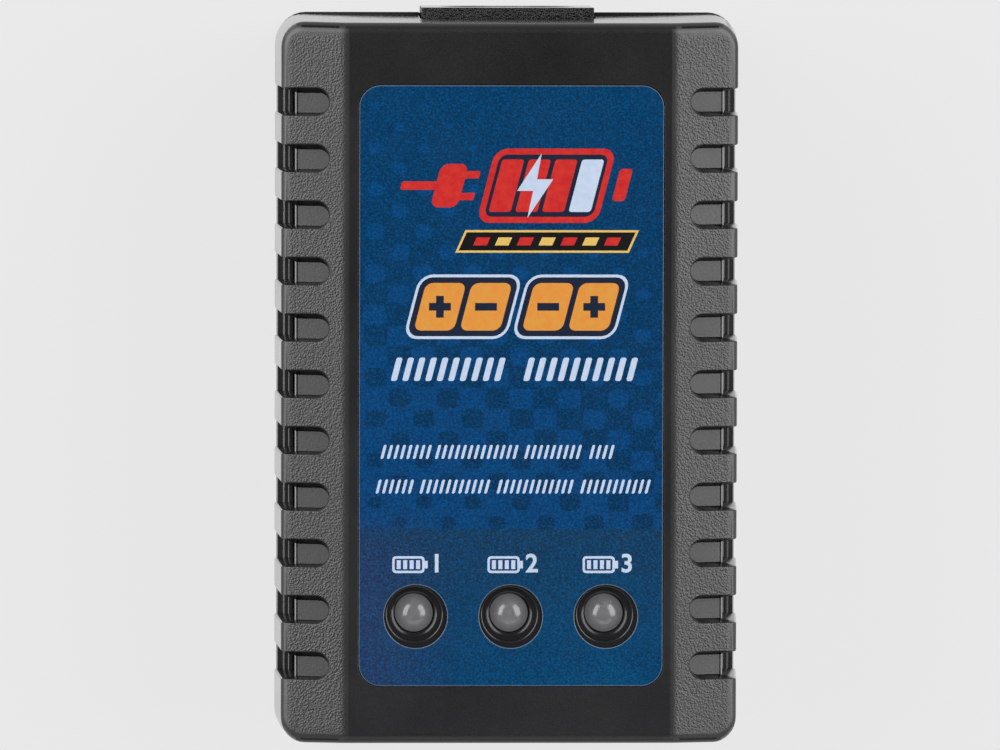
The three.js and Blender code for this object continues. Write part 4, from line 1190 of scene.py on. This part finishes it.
def make_screw(index):
    """Pan-head self-tapping screw with a cross recess and a cut thread, driven from below."""
    node = f"case_screw_{index}"
    low, high = box_mm(node)
    place = middle(node)
    seat = low.z + 1.8
    profile = [(0.9, low.z), (2.0, low.z + 0.12), (2.4, low.z + 0.5), (2.5, low.z + 0.95), (2.5, seat - 0.1),
               (2.4, seat), (1.1, seat)]
    z = seat + 0.3
    while z < high.z - 1.6:
        profile += [(0.92, z), (0.92, z + 0.3), (1.2, z + 0.45), (0.92, z + 0.6)]
        z += 0.9
    profile += [(0.85, high.z - 1.2), (0.08, high.z)]
    screw = turned(f"{node}_fastener", profile, place, 32)
    turn = math.radians(25 + 40 * index)
    recess = [(0, low.z - 1), (0, low.z + 0.25), (0.28, low.z + 1.1)]
    for k in (0, 1):
        arm = stack("arm", rounded_outline(1.45, 0.36, 0.15, 2), recess)
        arm.data.transform(Matrix.Rotation(turn + k * math.pi / 2, 4, "Z"))
        arm.data.transform(Matrix.Translation((place.x * MM, place.y * MM, 0)))
        cut(screw, arm)
    complete(screw, ["screw"], "screw_steel", node, angle=40)


# ---------------------------------------------------------------- board and components


def make_can(node):
    """Sleeved electrolytic capacitor with a scored aluminium top and a stripe down its side."""
    low, high = box_mm(node)
    place = middle(node)
    radius = (high.x - low.x) / 2
    foot = [(0.5, 0), (0.1, 0.1), (0, 0.5), (0, 1.3), (0.3, 1.7), (0.3, 2.0), (0, 2.4)]
    head = [(0, 0.6), (0.15, 0.2), (0.6, 0), (1.0, 0), (1.05, 0.12)]
    profile = [(radius - inset, low.z + rise) for inset, rise in foot]
    profile += [(radius - inset, high.z - drop) for inset, drop in head]
    can = turned(f"{node}_can", [*profile, (0.05, high.z - 0.12)], place)
    long, wide = radius - 1.6, 0.12
    for half_x, half_y in ((long, wide), (wide, long)):
        cut(can, block("score", (place.x - half_x, place.y - half_y, high.z - 0.3),
                       (place.x + half_x, place.y + half_y, high.z + 1)))

    def finish_at(centre, normal):
        inward = centre.xy - place.xy
        if centre.z > high.z - 0.35 and inward.length < radius - 0.95:
            return 1
        on_stripe = inward.length > radius * 0.8 and inward.angle_signed(Vector((1, 0.3))) ** 2 < 0.12
        return 2 if on_stripe and low.z + 2.5 < centre.z else 0

    complete(can, ["sleeve", "can_top", "rating"], "sleeve_blue", node, angle=40, choose=finish_at)


def make_axial_diode(node):
    """A banded diode lying on its bent leads."""
    low, high = box_mm(node)
    place = middle(node)
    axis_z = low.z + 1.6
    centre = (place.x, 0, axis_z)
    wire, half_length = 0.38, 2.6
    body = stack(f"{node}_body", circle_outline(1.35, 32),
                 rounded_levels(place.y - half_length, place.y + half_length, 0.25, 0.25, 3), centre, "Y")
    add(body, stack("wire", circle_outline(wire, 16), [(0, low.y + 0.3), (0, high.y - 0.3)], centre, "Y"))
    add(body, *[stack("leg", circle_outline(wire, 16), rounded_levels(low.z, axis_z + wire, 0, 0.3, 3),
                      (place.x, y, 0)) for y in (low.y + 0.4, high.y - 0.4)])
    complete(body, ["chip", "plating"], "chip_black", node, angle=40,
             choose=lambda centre, normal: abs(centre.y - place.y) > half_length + 0.02)
    band = stack(f"{node}_band", circle_outline(1.37, 32), [(0, place.y + 1.35), (0, place.y + 2.0)],
                 centre, "Y")
    cut(band, stack("core", circle_outline(1.3, 32), [(0, place.y), (0, place.y + 3)], centre, "Y"))
    complete(band, ["rating"], "chip_black")


def make_chip(node, width, legs_per_side, pitch, lift):
    """Moulded package with sloping sides, a pin-one mark and bent tinned legs."""
    low, high = box_mm(node)
    place = middle(node)
    half_x, half_y = width / 2, (high.y - low.y) / 2
    seam = low.z + lift + (high.z - low.z - lift) * 0.4
    sides = [(0.3, low.z + lift), (0.2, low.z + lift + 0.08), (0, seam), (0, seam + 0.1),
             (0.2, high.z - 0.08), (0.3, high.z)]
    body = stack(f"{node}_package", rounded_outline(half_x, half_y, 0.15, 3), sides, (place.x, place.y, 0))
    corner = Vector((place.x - half_x * 0.6, place.y + half_y * 0.68))
    cut(body, rod("pin_one", min(half_x, half_y) * 0.16, high.z - 0.1, high.z + 1, corner, 24))
    complete(body, ["chip"], "chip_black", node, angle=40)

    reach = (high.x - low.x) / 2
    path = [(half_x - 0.15, seam), (reach - 0.15, seam), (reach, seam - 0.2), (reach, low.z),
            (reach - 0.28, low.z), (reach - 0.28, seam - 0.3), (half_x - 0.15, seam - 0.25)]
    legs = []
    for i in range(legs_per_side):
        y = place.y + (i - (legs_per_side - 1) / 2) * pitch
        for side in (-1, 1):
            outline = polygon_outline([(place.x + side * x, z) for x, z in path])
            legs.append(stack("leg", outline, [(0, y - 0.26), (0, y + 0.26)], axis="Y"))
    complete(join(f"{node}_leads", legs), ["plating"], "chip_black")


def make_choke():
    low, high = box_mm("filter_choke")
    flange = [(4.3, 0), (4.5, 0.2), (4.5, 1.4), (4.35, 1.6), (3.9, 1.7)]
    profile = [(radius, low.z + rise) for radius, rise in flange]
    profile += [(radius, high.z - drop) for radius, drop in reversed(flange)]
    profile += [(1.2, high.z), (1.1, high.z - 0.4), (0.05, high.z - 0.4)]
    choke = turned("filter_choke_drum", profile, middle("filter_choke"))
    complete(choke, ["ferrite", "choke_wire"], "copper_wire", "filter_choke",
             choose=lambda centre, normal: low.z + 1.75 < centre.z < high.z - 1.75)


def make_fuse():
    low, high = box_mm("fuse")
    place = middle("fuse")
    fuse = stack("fuse_case", circle_outline((high.x - low.x) / 2),
                 rounded_levels(low.z, high.z, 0.2, 0.7, 5), (place.x, place.y, 0))
    cut(fuse, block("notch", (place.x - 1.6, place.y - 0.25, high.z - 0.3),
                    (place.x + 1.6, place.y + 0.25, high.z + 1)))
    complete(fuse, ["fuse"], "fuse_brown", "fuse", angle=40)


def make_disc():
    low, high = box_mm("y_capacitor")
    place = middle("y_capacitor")
    radius = (high.y - low.y) / 2
    centre_z = high.z - radius
    half = (high.x - low.x) / 2
    crown = [(0.7, -1), (0.12, -0.85), (0, -0.4), (0, 0.4), (0.12, 0.85), (0.7, 1)]
    levels = [(radius * inset, place.x + half * along) for inset, along in crown]
    disc = stack("y_capacitor_disc", circle_outline(radius), levels, (0, place.y, centre_z), "X")
    add(disc, *[rod("leg", 0.3, low.z, centre_z - radius * 0.5, Vector((place.x, place.y + y)), 16)
                for y in (-2.5, 2.5)])
    complete(disc, ["disc", "plating"], "disc_blue", "y_capacitor", angle=50,
             choose=lambda centre, normal: centre.z < low.z + 1.2)


def make_board():
    """The laminate, and solder joints round the LEDs' legs."""
    refined("main_board", "board", "board_green", 0.1, "laminate")
    top = box_mm("main_board")[1].z
    fillet = [(0, top), (0.05, top + 0.12), (0.45, top + 0.5)]
    places = [middle(node) for node in led_legs()]
    joints = [stack("joint", circle_outline(0.85, 20), fillet, (p.x, p.y, 0)) for p in places]
    complete(join("board_solder_joints", joints), ["plating"], "plating", angle=60)


# ---------------------------------------------------------------- the whole charger

make_top_shell()
make_bottom_shell()
make_face_label()
make_face_print()
make_rating_label()
for number in (1, 2, 3):
    make_led(number)
make_legs()
make_inlet()
make_sockets()
for number in (1, 2, 3, 4):
    make_screw(number)
make_board()
for number in (1, 2):
    make_can(f"bulk_capacitor_{number}")
for number in (1, 2, 3):
    make_can(f"output_capacitor_{number}")
for number in (1, 2, 3, 4):
    make_axial_diode(f"rectifier_diode_{number}")
make_chip("controller_chip", 6.4, 4, 2.54, 0.7)
make_chip("optocoupler", 6.4, 2, 2.54, 0.7)
for number in (1, 2, 3):
    make_chip(f"output_diode_{number}", 4.3, 1, 0, 0.2)
    make_chip(f"charge_chip_{number}", 5.0, 4, 1.4, 0.2)
make_choke()
make_fuse()
make_disc()
refined("transformer_core", "ferrite", "ferrite", 0.25, "halves")
refined("transformer_bobbin", "bobbin", "chip_black", 0.15, "former")
refined("transformer_winding", "tape", "tape_yellow", 0.3, "wrap")

# ---------------------------------------------------------------- studio


def make_floor():
    half = 3.0
    drop = -0.05 * MM
    points = [(-half, -half, drop), (half, -half, drop), (half, half, drop), (-half, half, drop)]
    mesh = bpy.data.meshes.new("floor")
    mesh.from_pydata(points, [], [(0, 1, 2, 3)])
    floor = new_object("floor", mesh)
    n = Nodes("floor_paper")
    paper = n.mix(n.noise(40.0, 3.0), srgb(60, 60, 60), srgb(62, 62, 62))
    n.set(Base_Color=paper, Roughness=0.9, Specular_IOR_Level=0.1,
          Emission_Color=srgb(230, 230, 230), Emission_Strength=0.94)
    mesh.materials.append(n.material)


def make_light(name, place, size, power):
    """A soft box facing the object's middle, out of the camera's sight."""
    target = Vector((0, 0, 0.02))
    data = bpy.data.lights.new(name, "AREA")
    data.shape = "RECTANGLE"
    data.size, data.size_y = size
    data.energy = power
    light = new_object(name, data)
    light.location = place
    light.rotation_mode = "QUATERNION"
    light.rotation_quaternion = (Vector(place) - target).to_track_quat("Z", "Y")
    light.visible_camera = False


def make_surroundings():
    """Pale near the horizon and dim overhead, as in a white room with a dark ceiling."""
    world = bpy.data.worlds.new("studio")
    bpy.context.scene.world = world
    world.use_nodes = True
    tree = world.node_tree
    place = tree.nodes.new("ShaderNodeTexCoord")
    axes = tree.nodes.new("ShaderNodeSeparateXYZ")
    ramp = tree.nodes.new("ShaderNodeMapRange")
    tree.links.new(place.outputs["Generated"], axes.inputs[0])
    tree.links.new(axes.outputs[2], ramp.inputs[0])
    for socket, value in zip(list(ramp.inputs)[1:5], (0.0, 0.9, 0.5, 0.07)):
        socket.default_value = value
    background = tree.nodes["Background"]
    background.inputs["Color"].default_value = (1.0, 1.0, 1.0, 1)
    tree.links.new(ramp.outputs[0], background.inputs["Strength"])


def make_camera():
    """Nearly overhead, leaning from the rear left, with a long lens and a trace of roll."""
    roll = math.radians(-0.13)
    target = Vector((-0.00125, CASE_Y * MM + 0.00115, CASE_TOP * MM))
    offset = Vector((-0.0389, 0.0710, 1.240))
    seen_width = 0.1238
    data = bpy.data.cameras.new("camera")
    data.sensor_width = 36.0
    data.lens = data.sensor_width * offset.length / seen_width
    data.clip_start, data.clip_end = 0.05, 50
    camera = new_object("camera", data)
    camera.location = target + offset
    back = offset.normalized()
    right = Vector((math.sin(roll), math.cos(roll), 0)).cross(back).normalized()
    camera.rotation_mode = "QUATERNION"
    camera.rotation_quaternion = Matrix((right, back.cross(right), back)).transposed().to_quaternion()
    bpy.context.scene.camera = camera


make_floor()
make_surroundings()
make_light("left_softbox", (-1.22, 0.46, 0.72), (1.60, 1.45), 40.0)
make_light("right_softbox", (1.17, 0.40, 0.80), (1.60, 1.45), 36.5)
make_light("front_fill", (0.10, -1.30, 0.80), (2.20, 1.00), 5.5)
make_camera()
bpy.context.scene.view_settings.view_transform = "Standard"
